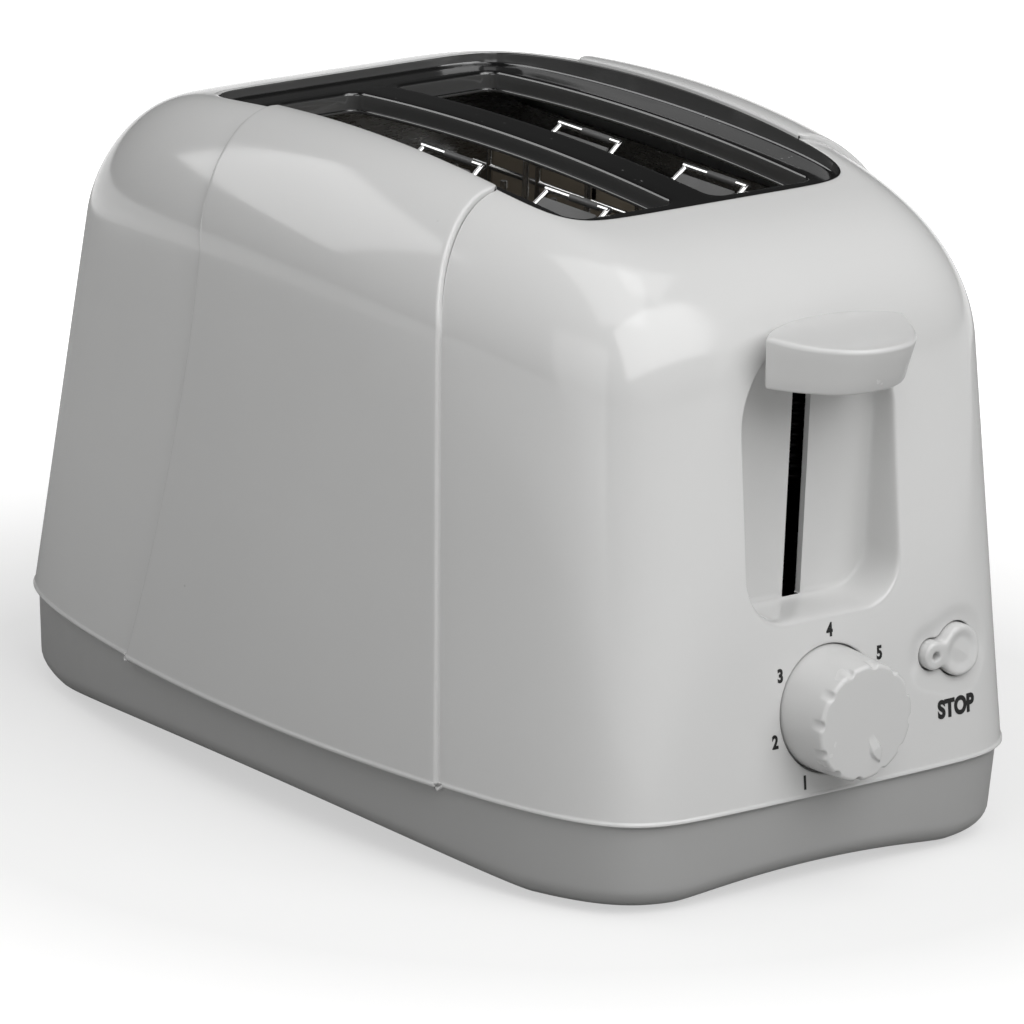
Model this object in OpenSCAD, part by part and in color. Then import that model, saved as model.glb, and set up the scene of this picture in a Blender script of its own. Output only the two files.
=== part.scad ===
// Two-slot pop-up toaster, standing on its feet.
// +Z is up, -Y is the control end, and the origin is on the table under the middle of the whole toaster.

/* [Body] */
// Length of the shell at its lower rim
body_l = 280; // [270:1:290]
// Width of the shell across the middle of its bowed sides
body_w = 194; // [188:1:200]
// Height of the opening's edge above the table, at mid length
body_h = 187; // [184:1:192]
// Height of the shell's lower rim above the table
rim_z = 26.4; // [26:0.1:28]
// Thickness of the moulded shells
wall = 2.4; // [2:0.1:3]
// How much narrower the sides are at their ends than in the middle
side_bow = 20; // [14:1:24]
// How far the side panels stand proud of the end caps
proud = 1.6; // [1:0.1:2]

/* [Opening] */
// Length of the opening in the top
top_l = 168; // [166:1:172]
// Width of the opening in the top
top_w = 114; // [112:1:120]
// How far the opening's edge falls from the middle to its ends
arch = 7.2; // [6:0.1:8]
// Depth of the deck below the opening's edge, at mid length
deck_drop = 6.8; // [6:0.1:8]

/* [Bread slots] */
// Length of each bread slot
slot_l = 140; // [136:1:142]
// Width of each bread slot
slot_w = 36; // [34:1:37]
// Web between the two bread slots
slot_web = 13.5; // [13:0.5:16]

/* [Controls] */
// Travel of the lever from up to latched
travel = 60; // [55:1:60]
// Width of the lever handle
handle_w = 49.6; // [44:0.2:50]
// Diameter of the browning knob where it meets the shell
knob_d = 34.8; // [34:0.2:38]
// How far the knob stands out of the shell
knob_h = 14.8; // [10:0.2:15]
// Number of finger notches around the knob
knob_notches = 12; // [10:1:14]

/* [Hidden] */
$fn = 48;

// The middle of the shell lies this far behind the origin
centre_y = 6.5;

// Outline and rise of the shell
corner = 9;
cap_bow = 1.5;
lean_front = 19.5;
lean_rear = 17.5;
lean_side = 8.2;
top_y = 2.4;
top_bow = 1.2;
ring_n = 72;
rises = [0, 0.3, 0.6, 0.76, 0.82, 0.87, 0.91, 0.94, 0.965, 0.983, 0.995, 1];

// Deck, an arched plate whose top is a wide cylinder
deck_t = 1.5;
deck_z = body_h - deck_drop;
deck_fall = 4.3;
well_z = 171;
slot_x = (slot_web + slot_w) / 2;

// Base
base_z = 1.2;
base_in = 1.9;
base_round = 7;
floor_z = 13.5;
floor_t = 2;

// Heating chamber
bulk_y = 77.5;
bulk_t = 1;
bulk_w = 124;
bulk_h = 170;
reflector_x = 60;
outer_board_x = 49.5;
guard_x = slot_w / 2 - 2.4;
wire_r = 1;
guard_low = 30;
guard_top = 160;
loop_gap = 54;
loop_l = 25;
loop_y = 28;
loop_in = 11.6;
loop_z = 177.4;

// Carriage and lever
recess_w = 56;
recess_y = -118;
recess_low = 76;
recess_high = 154;
recess_r_low = 14;
recess_r_high = 25;
lever_slot_w = 6.6;
lever_slot_low = 79;
lever_slot_high = 155;
stem_z = 146;
stem_h = 8;
rod_y = -100;
rod_r = 2.5;
rack_z = 92;
bracket_y = -92;
handle_z = 141.7;
handle_h = 13.7;
handle_rise = 2;
handle_y = -130;
handle_front = 23.2;
handle_lean = 5.6;
handle_back = 9.3;

// Controls
knob_z = 49.6;
knob_y = -136.7;
knob_step = 52;
board_y = -114;
stop_x = 48;
stop_z = 57.8;
lamp_x = 38.3;
inlet_x = -50;
inlet_z = 38;

// Seams between the side panels and the end caps, as the Y of each seam at height z
function front_seam(z) = z < 150 ? -78.5 + 0.11 * (z - 27) : -65 + 13.7 * pow((z - 150) / 35, 1.2);
function rear_seam(z) = z < 150 ? 35 + 22 * pow((150 - z) / 123, 1.7) : 35 + 11 * pow((z - 150) / 35, 1.3);

// One closed outline: a and b are its half length and half width
function turn(i) = i * 360 / ring_n + 8 * sin(4 * i * 360 / ring_n);
function ring(a, b, bow, ends, y0 = 0) = [
    for (i = [0:ring_n - 1])
        let (c = cos(turn(i)), s = sin(turn(i)))
        let (rho = pow(pow(abs(c), corner) + pow(abs(s), corner), 1 / corner))
        let (x = c / rho, y = s / rho)
        [x * (b - bow * y * y), y * (a - ends * x * x) + y0]
];
function ease(v, start, m) = v <= start ? 0 : 1 - pow(1 - pow((v - start) / (1 - start), m), 1 / m);
function mix(p, q, w) = p * (1 - w) + q * w;

// The shell's outline at rise v, moved in by inset, and lowered by drop at the top
function shell_ring(v, inset_x, inset_y, drop) =
    let (wa = ease(v, 0.75, 3), wb = ease(v, 0.78, 1.86), w = (wa + wb) / 2)
    let (a = mix(body_l / 2 - (lean_front + lean_rear) / 2 * v, top_l / 2, wa) - inset_y)
    let (b = mix(body_w / 2 - lean_side * v, top_w / 2, wb) - inset_x)
    let (y0 = mix((lean_front - lean_rear) / 2 * v, top_y, wa))
    [
        for (p = ring(a, b, mix(side_bow, top_bow, w), mix(cap_bow, 0, w), y0))
            let (crest = body_h - drop - arch * pow((p[1] - top_y) / (top_l / 2), 2))
            [p[0], p[1], rim_z + v * (crest - rim_z)]
    ];

// A closed solid through a stack of outlines
module skin(rings) {
    n = len(rings[0]);
    m = len(rings);
    low = [0, 0, rings[0][0][2]];
    high = [0, 0, max([for (p = rings[m - 1]) p[2]])];
    points = concat([for (r = rings) each r], [low, high]);
    sides = [
        for (k = [0:m - 2], i = [0:n - 1])
            let (p = k * n + i, q = k * n + (i + 1) % n)
            each [[p, p + n, q], [q, p + n, q + n]]
    ];
    bottom = [for (i = [0:n - 1]) [i, (i + 1) % n, m * n]];
    top = [for (i = [0:n - 1]) [(m - 1) * n + (i + 1) % n, (m - 1) * n + i, m * n + 1]];
    polyhedron(points = points, faces = concat(sides, bottom, top), convexity = 6);
}

module shell_solid(inset_x = 0, inset_y = 0, drop = 0) {
    skin([for (v = rises) shell_ring(v, inset_x, inset_y, drop)]);
}

// The inside of the shell, open at the bottom
module shell_room(inset_x) {
    skin(concat(
        [[for (p = shell_ring(0, inset_x, wall, wall)) [p[0], p[1], rim_z - 1]]],
        [for (v = rises) shell_ring(v, inset_x, wall, wall)]
    ));
}

module top_outline(inset, z0, z1) {
    translate([0, 0, z0])
        linear_extrude(z1 - z0)
            polygon(ring(top_l / 2 - inset, top_w / 2 - inset, top_bow, 0, top_y));
}

// A thin-walled shell with a collar down to the deck around its opening
module shell(set_back) {
    difference() {
        shell_solid(set_back, 0, set_back * 0.75);
        difference() {
            shell_room(set_back + wall);
            top_outline(0, well_z, body_h + 5);
        }
        top_outline(wall, rim_z - 5, body_h + 5);
    }
}

// Everything between the two seams
module panel_zone() {
    zs = [for (z = [20:10:150]) z, for (z = [155:5:195]) z];
    rotate([90, 0, 90])
        linear_extrude(240, center = true)
            polygon(concat(
                [for (z = zs) [rear_seam(z), z]],
                [for (i = [len(zs) - 1:-1:0]) [front_seam(zs[i]), zs[i]]]
            ));
}

// Puts a piece in the frame of the whole toaster, lever and knob included
module centred() {
    translate([0, centre_y, 0])
        children();
}

module half(side) {
    translate([side > 0 ? 0 : -120, -160, -5])
        cube([120, 320, 220]);
}

module side_panel(side) {
    intersection() {
        shell(0);
        panel_zone();
        half(side);
    }
}

module recess_shape(grow) {
    w = recess_w / 2 + grow;
    r_low = recess_r_low + grow;
    r_high = recess_r_high + grow;
    low = recess_low - grow;
    high = recess_high + grow;
    for (x = [-1, 1]) {
        translate([x * (w - r_low), low + r_low])
            circle(r_low);
        translate([x * (w - r_high), high - r_high])
            circle(r_high);
    }
    translate([-(w - r_low), low])
        square([2 * (w - r_low), r_low]);
    translate([-w, low + r_low])
        square([2 * w, high - low - r_low - r_high]);
    translate([-(w - r_high), high - r_high])
        square([2 * (w - r_high), r_high]);
}

module keyhole(grow) {
    translate([stop_x, stop_z])
        circle(7.2 + grow);
    translate([lamp_x, stop_z])
        circle(4.1 + grow);
    translate([lamp_x, stop_z - 3 - grow])
        square([stop_x - lamp_x, 6 + 2 * grow]);
}

// Extrudes a front-view outline from y0 to y1
module frontal(y0, y1) {
    translate([0, y1, 0])
        rotate([90, 0, 0])
            linear_extrude(y1 - y0)
                children();
}

module along_y(y0, y1, r, x = 0, z = 0) {
    translate([x, y1, z])
        rotate([90, 0, 0])
            cylinder(h = y1 - y0, r = r);
}

module screw_post(x, y, reach) {
    translate([x, y, floor_z + floor_t])
        cylinder(h = 44 - floor_z - floor_t, r = 4.5);
    translate([x - 1.5, min(y, y + reach), rim_z + 1])
        cube([3, abs(reach), 44 - rim_z - 1]);
}

module front_cap() {
    color("whitesmoke") centred()
        difference() {
            union() {
                difference() {
                    shell(proud);
                    panel_zone();
                }
                intersection() {
                    shell_solid(proud, 0, proud * 0.75);
                    union() {
                        frontal(-150, recess_y + wall) recess_shape(wall);
                        along_y(-150, -129.5, knob_d / 2 + 3, 0, knob_z);
                        frontal(-150, -129) keyhole(2);
                    }
                }
                for (x = [-45, 45])
                    screw_post(x, -129.5, -7);
            }
            translate([-120, 0, -5])
                cube([240, 160, 220]);
            frontal(-160, recess_y) recess_shape(0);
            translate([-lever_slot_w / 2, -125, lever_slot_low])
                cube([lever_slot_w, 20, lever_slot_high - lever_slot_low]);
            along_y(-160, -131.5, knob_d / 2 + 0.4, 0, knob_z);
            along_y(-160, -120, 3.6, 0, knob_z);
            frontal(-160, -120) keyhole(0.4);
            for (x = [-45, 45])
                translate([x, -129.5, 0])
                    cylinder(h = 36, r = 1.9);
        }
}

module rear_cap() {
    color("whitesmoke") centred()
        difference() {
            union() {
                difference() {
                    shell(proud);
                    panel_zone();
                }
                for (x = [-62, 62])
                    screw_post(x, 118, 15);
                translate([-63.5, 107, rim_z + 1])
                    cube([3, 12, 44 - rim_z - 1]);
                translate([-63.5, 107, rim_z + 1])
                    cube([22, 2.5, 44 - rim_z - 1]);
                intersection() {
                    shell_solid(proud, 0, proud * 0.75);
                    along_y(130, 150, 9, inlet_x, inlet_z);
                }
            }
            translate([-120, -160, -5])
                cube([240, 160, 220]);
            translate([inlet_x, 160, inlet_z])
                rotate([90, 22.5, 0])
                    cylinder(h = 35, r = 6.8, $fn = 8);
            for (x = [-62, 62])
                translate([x, 118, 0])
                    cylinder(h = 36, r = 1.9);
        }
}

module left_side_panel() {
    color("white") centred()
        side_panel(-1);
}

module right_side_panel() {
    color("white") centred()
        side_panel(1);
}

function base_ring(z, inset) = [
    for (p = ring(body_l / 2 - inset, body_w / 2 - inset - proud / 2, side_bow, cap_bow)) [p[0], p[1], z]
];

module base_skirt() {
    arch_r = (105 * 105 + 11 * 11) / 22;
    end_r = (50 * 50 + 3.5 * 3.5) / 7;
    low = base_in + 0.9;
    color("gainsboro") centred()
        difference() {
            union() {
                difference() {
                    skin(concat(
                        [
                            for (t = [0:15:90])
                                base_ring(base_z + base_round * (1 - cos(t)), low + base_round * (1 - sin(t)))
                        ],
                        [base_ring(rim_z, base_in)]
                    ));
                    skin(concat(
                        [
                            for (t = [0:30:90])
                                base_ring(base_z + wall + 5 * (1 - cos(t)), low + wall + 5 * (1 - sin(t)))
                        ],
                        [base_ring(rim_z + 1, base_in + wall)]
                    ));
                }
                translate([0, 0, floor_z])
                    linear_extrude(floor_t)
                        polygon(ring(body_l / 2 - 4, body_w / 2 - 4 - proud / 2, side_bow, cap_bow));
            }
            translate([0, 0, 11 - arch_r])
                rotate([0, 90, 0])
                    cylinder(h = 260, r = arch_r, center = true, $fn = 200);
            translate([0, 0, 3.5 - end_r])
                rotate([90, 0, 0])
                    cylinder(h = 340, r = end_r, center = true, $fn = 200);
            translate([-57, 110, floor_z + floor_t])
                cube([114, 40, 7.5]);
            for (x = [-40:16:40], y = [-60:30:60])
                translate([x - 1.5, y - 10, floor_z - 1])
                    cube([3, 20, floor_t + 2]);
            for (x = [-45, 45])
                translate([x, -129.5, 0])
                    cylinder(h = 20, r = 1.9);
            for (x = [-62, 62])
                translate([x, 118, 0])
                    cylinder(h = 20, r = 1.9);
        }
}

module slot_outline(grow) {
    r = 4 + grow;
    w = slot_w / 2 + grow;
    l = slot_l / 2 + grow;
    for (x = [-1, 1], y = [-1, 1])
        translate([x * (w - r), y * (l - r)])
            circle(r);
    square([2 * (w - r), 2 * l], center = true);
    square([2 * w, 2 * (l - r)], center = true);
}

// The deck's arched layer between two depths under its top face, over the whole width w
module deck_layer(top, low, w) {
    steps = 20;
    ys = [for (i = [0:steps]) -90 + 180 * i / steps];
    rotate([90, 0, 90])
        linear_extrude(w, center = true)
            polygon(concat(
                [for (y = ys) [y, deck_z - top - deck_fall * pow(y / (top_l / 2), 2)]],
                [for (i = [steps:-1:0]) [ys[i], deck_z - low - deck_fall * pow(ys[i] / (top_l / 2), 2)]]
            ));
}

module deck_plate() {
    color("black") centred()
        difference() {
            union() {
                intersection() {
                    top_outline(wall + 0.1, 160, body_h);
                    deck_layer(0, deck_t, 130);
                }
                for (x = [-slot_x, slot_x])
                    intersection() {
                        translate([x, 0, 160])
                            linear_extrude(30)
                                slot_outline(1);
                        deck_layer(0.4, 14, 130);
                    }
            }
            for (x = [-slot_x, slot_x])
                translate([x, 0, 150])
                    linear_extrude(50)
                        slot_outline(0);
        }
}

module rubber_feet() {
    color("dimgray") centred()
        for (x = [-58, 58], y = [-113, 113])
            translate([x, y, 0])
                cylinder(h = base_z, r = 7);
}

module base_screws() {
    color("silver") centred()
        for (p = [[-45, -129.5], [45, -129.5], [-62, 118], [62, 118]])
            translate([p[0], p[1], 0]) {
                translate([0, 0, floor_z - 2])
                    cylinder(h = 2, r = 3.4);
                translate([0, 0, floor_z])
                    cylinder(h = 16, r = 1.7);
            }
}

module crumb_tray() {
    z = floor_z + floor_t + 0.3;
    color("silver") centred() {
        difference() {
            translate([-55, -74, z])
                cube([110, 207, 3]);
            translate([-54.2, -73.2, z + 0.8])
                cube([108.4, 205.4, 4]);
        }
        translate([-55, 133, z])
            cube([110, 6, 6]);
    }
}

module bulkhead_openings(y) {
    for (x = [-slot_x, slot_x])
        translate([x - 2, y - 1, 17])
            cube([4, bulk_t + 2, 82]);
}

module front_bulkhead() {
    y = -bulk_y - bulk_t;
    color("lightgray") centred() {
        difference() {
            translate([-bulk_w / 2, y, floor_z + floor_t])
                cube([bulk_w, bulk_t, bulk_h - floor_z - floor_t]);
            bulkhead_openings(y);
        }
        difference() {
            translate([-20, rod_y - 8, 164])
                cube([44, y - rod_y + 8, 2]);
            translate([0, rod_y, 160])
                cylinder(h = 10, r = rod_r);
        }
    }
}

module rear_bulkhead() {
    color("lightgray") centred()
        difference() {
            translate([-bulk_w / 2, bulk_y, floor_z + floor_t])
                cube([bulk_w, bulk_t, bulk_h - floor_z - floor_t]);
            translate([-57, bulk_y - 1, 10])
                cube([114, bulk_t + 2, 13]);
            bulkhead_openings(bulk_y);
        }
}

module reflector(side) {
    x = side * reflector_x;
    color("lightgray") centred()
        difference() {
            translate([x - 0.4, -bulk_y, 24])
                cube([0.8, 2 * bulk_y, 140]);
            for (y = [-60:30:60], z = [40, 140])
                translate([x - 1, y - 8, z])
                    cube([2, 16, 4]);
        }
}

module left_reflector() {
    reflector(-1);
}

module right_reflector() {
    reflector(1);
}

module heater_board(x) {
    color("tan") centred()
        difference() {
            translate([x - 0.5, -bulk_y, 30])
                cube([1, 2 * bulk_y, 126]);
            for (y = [-60:30:60])
                translate([x - 1, y - 1.5, 146])
                    cube([2, 3, 11]);
        }
}

module left_heater_board() {
    heater_board(-outer_board_x);
}

module centre_heater_board() {
    heater_board(0);
}

module right_heater_board() {
    heater_board(outer_board_x);
}

// Flat resistance ribbon, in rows along each board
module heater_ribbons() {
    color("goldenrod") centred()
        for (x = [-outer_board_x + 0.5, -0.8, 0.5, outer_board_x - 0.8], z = [38:12:134])
            translate([x, -72, z])
                cube([0.3, 144, 2.4]);
}

// A straight wire from p to q, running on a little at each end so that bends close
module wire(p, q) {
    d = q - p;
    translate(p)
        rotate([0, acos(d[2] / norm(d)), atan2(d[1], d[0])])
            translate([0, 0, -0.4])
                cylinder(h = norm(d) + 0.8, r = wire_r * 0.9);
}

// A wire guard beside the bread: inward points at the bread, and loops lean over it
module guard(x, inward, loops) {
    color("silver") centred() {
        for (y = [-66:22:66])
            translate([x, y, guard_low])
                cylinder(h = guard_top - guard_low, r = wire_r);
        for (z = [guard_low + 2, guard_top - 10])
            along_y(-73, 73, wire_r * 0.9, x, z);
        if (loops)
            for (y = [-loop_y - loop_gap / 2, -loop_y + loop_gap / 2]) {
                head_x = x + inward * loop_in;
                for (k = [-1, 1]) {
                    foot_y = y + k * (loop_l / 2 + 1);
                    translate([x, foot_y, guard_top - 10.5])
                        cylinder(h = 19, r = wire_r);
                    wire([x, foot_y, 168], [head_x, y + k * loop_l / 2, loop_z]);
                }
                along_y(y - loop_l / 2 - 0.8, y + loop_l / 2 + 0.8, wire_r, head_x, loop_z);
            }
    }
}

module left_outer_guard() {
    guard(-slot_x - guard_x, 1, true);
}

module left_inner_guard() {
    guard(-slot_x + guard_x, -1, false);
}

module right_inner_guard() {
    guard(slot_x - guard_x, 1, true);
}

module right_outer_guard() {
    guard(slot_x + guard_x, -1, false);
}

module guide_rod() {
    color("silver") centred()
        translate([0, rod_y, floor_z + floor_t])
            cylinder(h = 166 - floor_z - floor_t, r = rod_r);
}

// Extension spring from the shelf of the front bulkhead down to the carriage
module lift_spring() {
    turns = 20;
    color("silver") centred() {
        for (k = [0:turns - 1])
            translate([14, rod_y, 105 + k * 3])
                rotate_extrude()
                    translate([3.4, 0])
                        circle(0.7, $fn = 16);
        translate([17.4, rod_y, 103.5])
            cylinder(h = 60.5, r = 0.5);
    }
}

module carriage_bracket() {
    color("silver") centred()
        difference() {
            union() {
                translate([-34, bracket_y, 84])
                    cube([74, 1.5, 19.5]);
                for (z = [84, stem_z])
                    translate([0, rod_y, z])
                        cylinder(h = z == 84 ? 18 : stem_h, r = rod_r + 2);
                translate([-2.2, rod_y, 84])
                    cube([4.4, bracket_y - rod_y + 1, 16]);
                translate([-2.2, rod_y + 3, 90])
                    cube([4.4, 3, stem_z + stem_h - 90]);
                translate([-2.2, -119.5, stem_z])
                    cube([4.4, rod_y + 4 + 119.5, stem_h]);
                translate([9, rod_y - 5, 102])
                    cube([31, 13, 1.5]);
                translate([-34, rod_y - 5, 100])
                    cube([16, 13, 1.5]);
            }
            translate([0, rod_y, 60])
                cylinder(h = 110, r = rod_r + 0.3);
        }
}

// A comb that carries one slice: a blade through the bulkheads with cross teeth on it
module bread_rack(x) {
    color("silver") centred() {
        translate([x - 0.75, bracket_y + 1.5, 85.6])
            cube([1.5, 173, rack_z - 85.6]);
        for (y = [-70:14:70])
            translate([x - 9, y - 1, rack_z])
                cube([18, 2, 1.5]);
        translate([x - 1.5, -71, rack_z - 0.8])
            cube([3, 142, 0.8]);
    }
}

module left_bread_rack() {
    bread_rack(-slot_x);
}

module right_bread_rack() {
    bread_rack(slot_x);
}

// The handle's outline from the line through its tips: a bowed front and a flatter back.
// The outline lies at height z in front and climbs by rise towards the back.
function handle_outline(z, half_w, front, rise) =
    let (steps = 24, xs = [for (i = [0:steps]) -half_w * cos(i * 180 / steps)])
    let (flat = concat(
        [for (x = xs) [x, -front * (1 - pow(abs(x) / half_w, 2.6))]],
        [for (i = [steps - 1:-1:1]) [xs[i], handle_back * pow(1 - pow(xs[i] / half_w, 2), 0.8)]]
    ))
    [for (p = flat) [p[0], p[1], z + rise * min(1, max(0, (p[1] + 14) / 24))]];

module lever_handle() {
    color("white") centred() {
        translate([0, handle_y, 0])
            skin([
                handle_outline(handle_z, handle_w / 2 - 0.8, handle_front - handle_lean, 0),
                handle_outline(handle_z + handle_h, handle_w / 2, handle_front, handle_rise)
            ]);
        translate([-5, handle_y + handle_back - 2, handle_z + 1])
            cube([10, -119.5 - handle_y - handle_back + 2, 8]);
    }
}

module armature_plate() {
    color("gray") centred()
        translate([26, rod_y - 5, 100])
            cube([14, 10, 2]);
}

module electromagnet() {
    color("gray") centred() {
        translate([24, rod_y - 7, floor_z + floor_t])
            cube([18, 14, 3]);
        translate([26, rod_y - 5, floor_z + floor_t + 3])
            cube([14, 10, 100 - travel - floor_z - floor_t - 3.2]);
    }
}

module contact_block() {
    color("dimgray") centred()
        translate([-36, rod_y - 7, floor_z + floor_t])
            cube([20, 13, 97.3 - travel - floor_z - floor_t]);
}

module moving_contact() {
    color("goldenrod") centred() {
        translate([-32, rod_y - 5, 99.2])
            cube([12, 8, 0.8]);
        for (x = [-30, -22])
            translate([x, rod_y - 2, 97.6])
                cylinder(h = 1.6, r = 1.5);
    }
}

module circuit_board() {
    color("darkgreen") centred()
        difference() {
            translate([-30, board_y, 28])
                cube([92, 1.6, 44]);
            along_y(board_y - 5, board_y + 5, 3.6, 0, knob_z);
        }
}

module potentiometer() {
    color("slategray") centred()
        difference() {
            along_y(board_y + 1.6, board_y + 7.6, 8.5, 0, knob_z);
            along_y(board_y, board_y + 6, 3.3, 0, knob_z);
        }
}

module dial_shaft() {
    color("lightgray") centred()
        along_y(-146, board_y + 4, 3, 0, knob_z);
}

module browning_knob() {
    front = knob_y - knob_h;
    r = knob_d / 2;
    color("white") centred()
        difference() {
            union() {
                translate([0, -132.5, knob_z])
                    rotate([90, 0, 0])
                        cylinder(h = -132.5 - front, r1 = r, r2 = r - 0.9, $fn = 72);
                translate([0, front + 0.1, knob_z])
                    rotate([90, knob_step * 3 - 90, 0])
                        linear_extrude(0.9)
                            polygon([[14.4, 0], [12, 1.6], [9, 2], [9, -2], [12, -1.6]]);
            }
            along_y(-146, -130, 3.05, 0, knob_z);
            for (k = [0:knob_notches - 1])
                translate([0, 0, knob_z])
                    rotate([0, knob_step * 3 + k * 360 / knob_notches, 0])
                        along_y(front - 1, front + 3, 1.5, 0, r - 0.4);
        }
}

module stop_switch() {
    color("dimgray") centred()
        translate([stop_x - 4, board_y - 4.5, stop_z - 4])
            cube([8, 4.5, 8]);
}

module stop_button() {
    color("white") centred()
        difference() {
            union() {
                frontal(-136.4, -131) keyhole(0);
                along_y(-131, -121.5, 2.5, stop_x, stop_z);
            }
            along_y(-140, -125, 1.3, lamp_x, stop_z);
        }
}

module indicator_led() {
    color("crimson") centred()
        along_y(board_y - 13, board_y, 1.5, lamp_x, stop_z);
}

module cord_inlet() {
    color("dimgray") centred()
        difference() {
            union() {
                along_y(128, 140.2, 5.9, inlet_x, inlet_z);
                along_y(139, 140.2, 8, inlet_x, inlet_z);
                along_y(128, 129.8, 8, inlet_x, inlet_z);
            }
            along_y(120, 150, 3.75, inlet_x, inlet_z);
        }
}

module terminal_block() {
    color("ivory") centred()
        difference() {
            translate([-62, bulk_y + bulk_t, 40])
                cube([24, 14, 14]);
            for (x = [-56, -44])
                translate([x, bulk_y + bulk_t + 7, 44])
                    cylinder(h = 20, r = 2);
        }
}

front_cap();
rear_cap();
left_side_panel();
right_side_panel();
base_skirt();
deck_plate();
rubber_feet();
base_screws();
crumb_tray();
front_bulkhead();
rear_bulkhead();
left_reflector();
right_reflector();
left_heater_board();
centre_heater_board();
right_heater_board();
heater_ribbons();
left_outer_guard();
left_inner_guard();
right_inner_guard();
right_outer_guard();
guide_rod();
lift_spring();
carriage_bracket();
left_bread_rack();
right_bread_rack();
lever_handle();
armature_plate();
electromagnet();
contact_block();
moving_contact();
circuit_board();
potentiometer();
dial_shaft();
browning_knob();
stop_switch();
stop_button();
indicator_led();
cord_inlet();
terminal_block();
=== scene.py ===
import math

import bmesh
import bpy
import numpy as np
from mathutils import Matrix, Vector, geometry


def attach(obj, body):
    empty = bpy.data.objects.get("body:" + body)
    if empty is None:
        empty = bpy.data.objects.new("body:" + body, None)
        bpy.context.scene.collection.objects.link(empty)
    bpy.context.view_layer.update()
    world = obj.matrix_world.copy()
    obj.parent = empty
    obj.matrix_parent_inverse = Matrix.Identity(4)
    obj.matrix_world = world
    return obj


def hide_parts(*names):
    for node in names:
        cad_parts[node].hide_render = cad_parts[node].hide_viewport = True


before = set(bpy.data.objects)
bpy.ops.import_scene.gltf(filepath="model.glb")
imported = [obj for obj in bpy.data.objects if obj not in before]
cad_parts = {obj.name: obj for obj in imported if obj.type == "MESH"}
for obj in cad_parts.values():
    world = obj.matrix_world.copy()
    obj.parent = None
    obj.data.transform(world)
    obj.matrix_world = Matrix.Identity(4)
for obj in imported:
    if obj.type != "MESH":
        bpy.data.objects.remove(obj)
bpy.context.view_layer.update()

# Lengths are in millimetres up to the point where a mesh is made.
MM = 0.001
CENTRE_Y = 6.5          # the middle of the shell lies this far behind the origin

# -------- the shell's outline
BODY_L, BODY_W, BODY_H = 280.0, 194.0, 187.0
RIM_Z = 26.4
TOP_L, TOP_W, TOP_Y = 168.0, 114.0, 2.4
LEAN_FRONT, LEAN_REAR, LEAN_SIDE = 19.5, 17.5, 8.2
SIDE_BOW, TOP_BOW, CAP_BOW = 20.0, 1.2, 1.5
ARCH = 7.2
WALL = 2.4
PROUD = 1.6             # the caps stand this far outside the panels
CREST_SHARE = 0.75      # share of a set-back by which the crest drops
CORNER = 9.0
WALL_RISE, LEVEL_RISE = 140.0, 90.0
FRONT, REAR = -1, 1


def mix(p, q, w):
    return p * (1 - w) + q * w


def smooth(v):
    v = np.clip(v, 0.0, 1.0)
    return v * v * (3 - 2 * v)


def ease(v, start, power):
    if v <= start:
        return 0.0
    u = min(1.0, (v - start) / (1 - start))
    return 1 - (1 - u ** power) ** (1 / power)


def front_seam(z):
    low = -78.5 + 0.11 * (z - 27)
    high = -65 + 13.7 * (np.maximum(z - 150, 0) / 35) ** 1.2
    return np.where(z < 150, low, high)


def rear_seam(z):
    low = 35 + 22 * (np.maximum(150 - z, 0) / 123) ** 1.7
    high = 35 + 11 * (np.maximum(z - 150, 0) / 35) ** 1.3
    return np.where(z < 150, low, high)


def superellipse(turn):
    c, s = np.cos(np.radians(turn)), np.sin(np.radians(turn))
    rho = (np.abs(c) ** CORNER + np.abs(s) ** CORNER) ** (1 / CORNER)
    return c / rho, s / rho


def ring(turn, a, b, bow, ends, y0):
    x, y = superellipse(turn)
    return x * (b - bow * y * y), y * (a - ends * x * x) + y0


def sizes(v, inset_x, inset_y):
    wa, wb = ease(v, 0.75, 3), ease(v, 0.78, 1.86)
    w = (wa + wb) / 2
    a = mix(BODY_L / 2 - (LEAN_FRONT + LEAN_REAR) / 2 * v, TOP_L / 2, wa) - inset_y
    b = mix(BODY_W / 2 - LEAN_SIDE * v, TOP_W / 2, wb) - inset_x
    y0 = mix((LEAN_FRONT - LEAN_REAR) / 2 * v, TOP_Y, wa)
    return a, b, mix(SIDE_BOW, TOP_BOW, w), mix(CAP_BOW, 0, w), y0


def crest(y, drop):
    return BODY_H - drop - ARCH * ((y - TOP_Y) / (TOP_L / 2)) ** 2


# The shell is drawn in a little above the fine bead along its rim.
RIM_IN, BEAD_IN, BEAD_H, BEAD_FADE = 0.1, 0.4, 0.85, 0.6


def rim_inset(v):
    z = v * WALL_RISE
    upper = BEAD_IN * (1 - 0.5 * float(smooth(z / LEVEL_RISE)))
    return mix(RIM_IN, upper, float(smooth((z - BEAD_H) / BEAD_FADE)))


def outline(v, turn, set_back):
    """Points of the outer surface at rise v."""
    e = rim_inset(v)
    a, b, bow, ends, y0 = sizes(v, set_back + e, e)
    x, y = ring(turn, a, b, bow, ends, y0)
    z = RIM_Z + v * (crest(y, set_back * CREST_SHARE) - RIM_Z)
    return np.stack([x, y, z], -1)


FIRST_GUESS = 130.0
RISE_TABLE = np.linspace(0, 1, 400)
END_TABLE = np.array([sizes(t, PROUD + rim_inset(t), rim_inset(t)) for t in RISE_TABLE])


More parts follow.
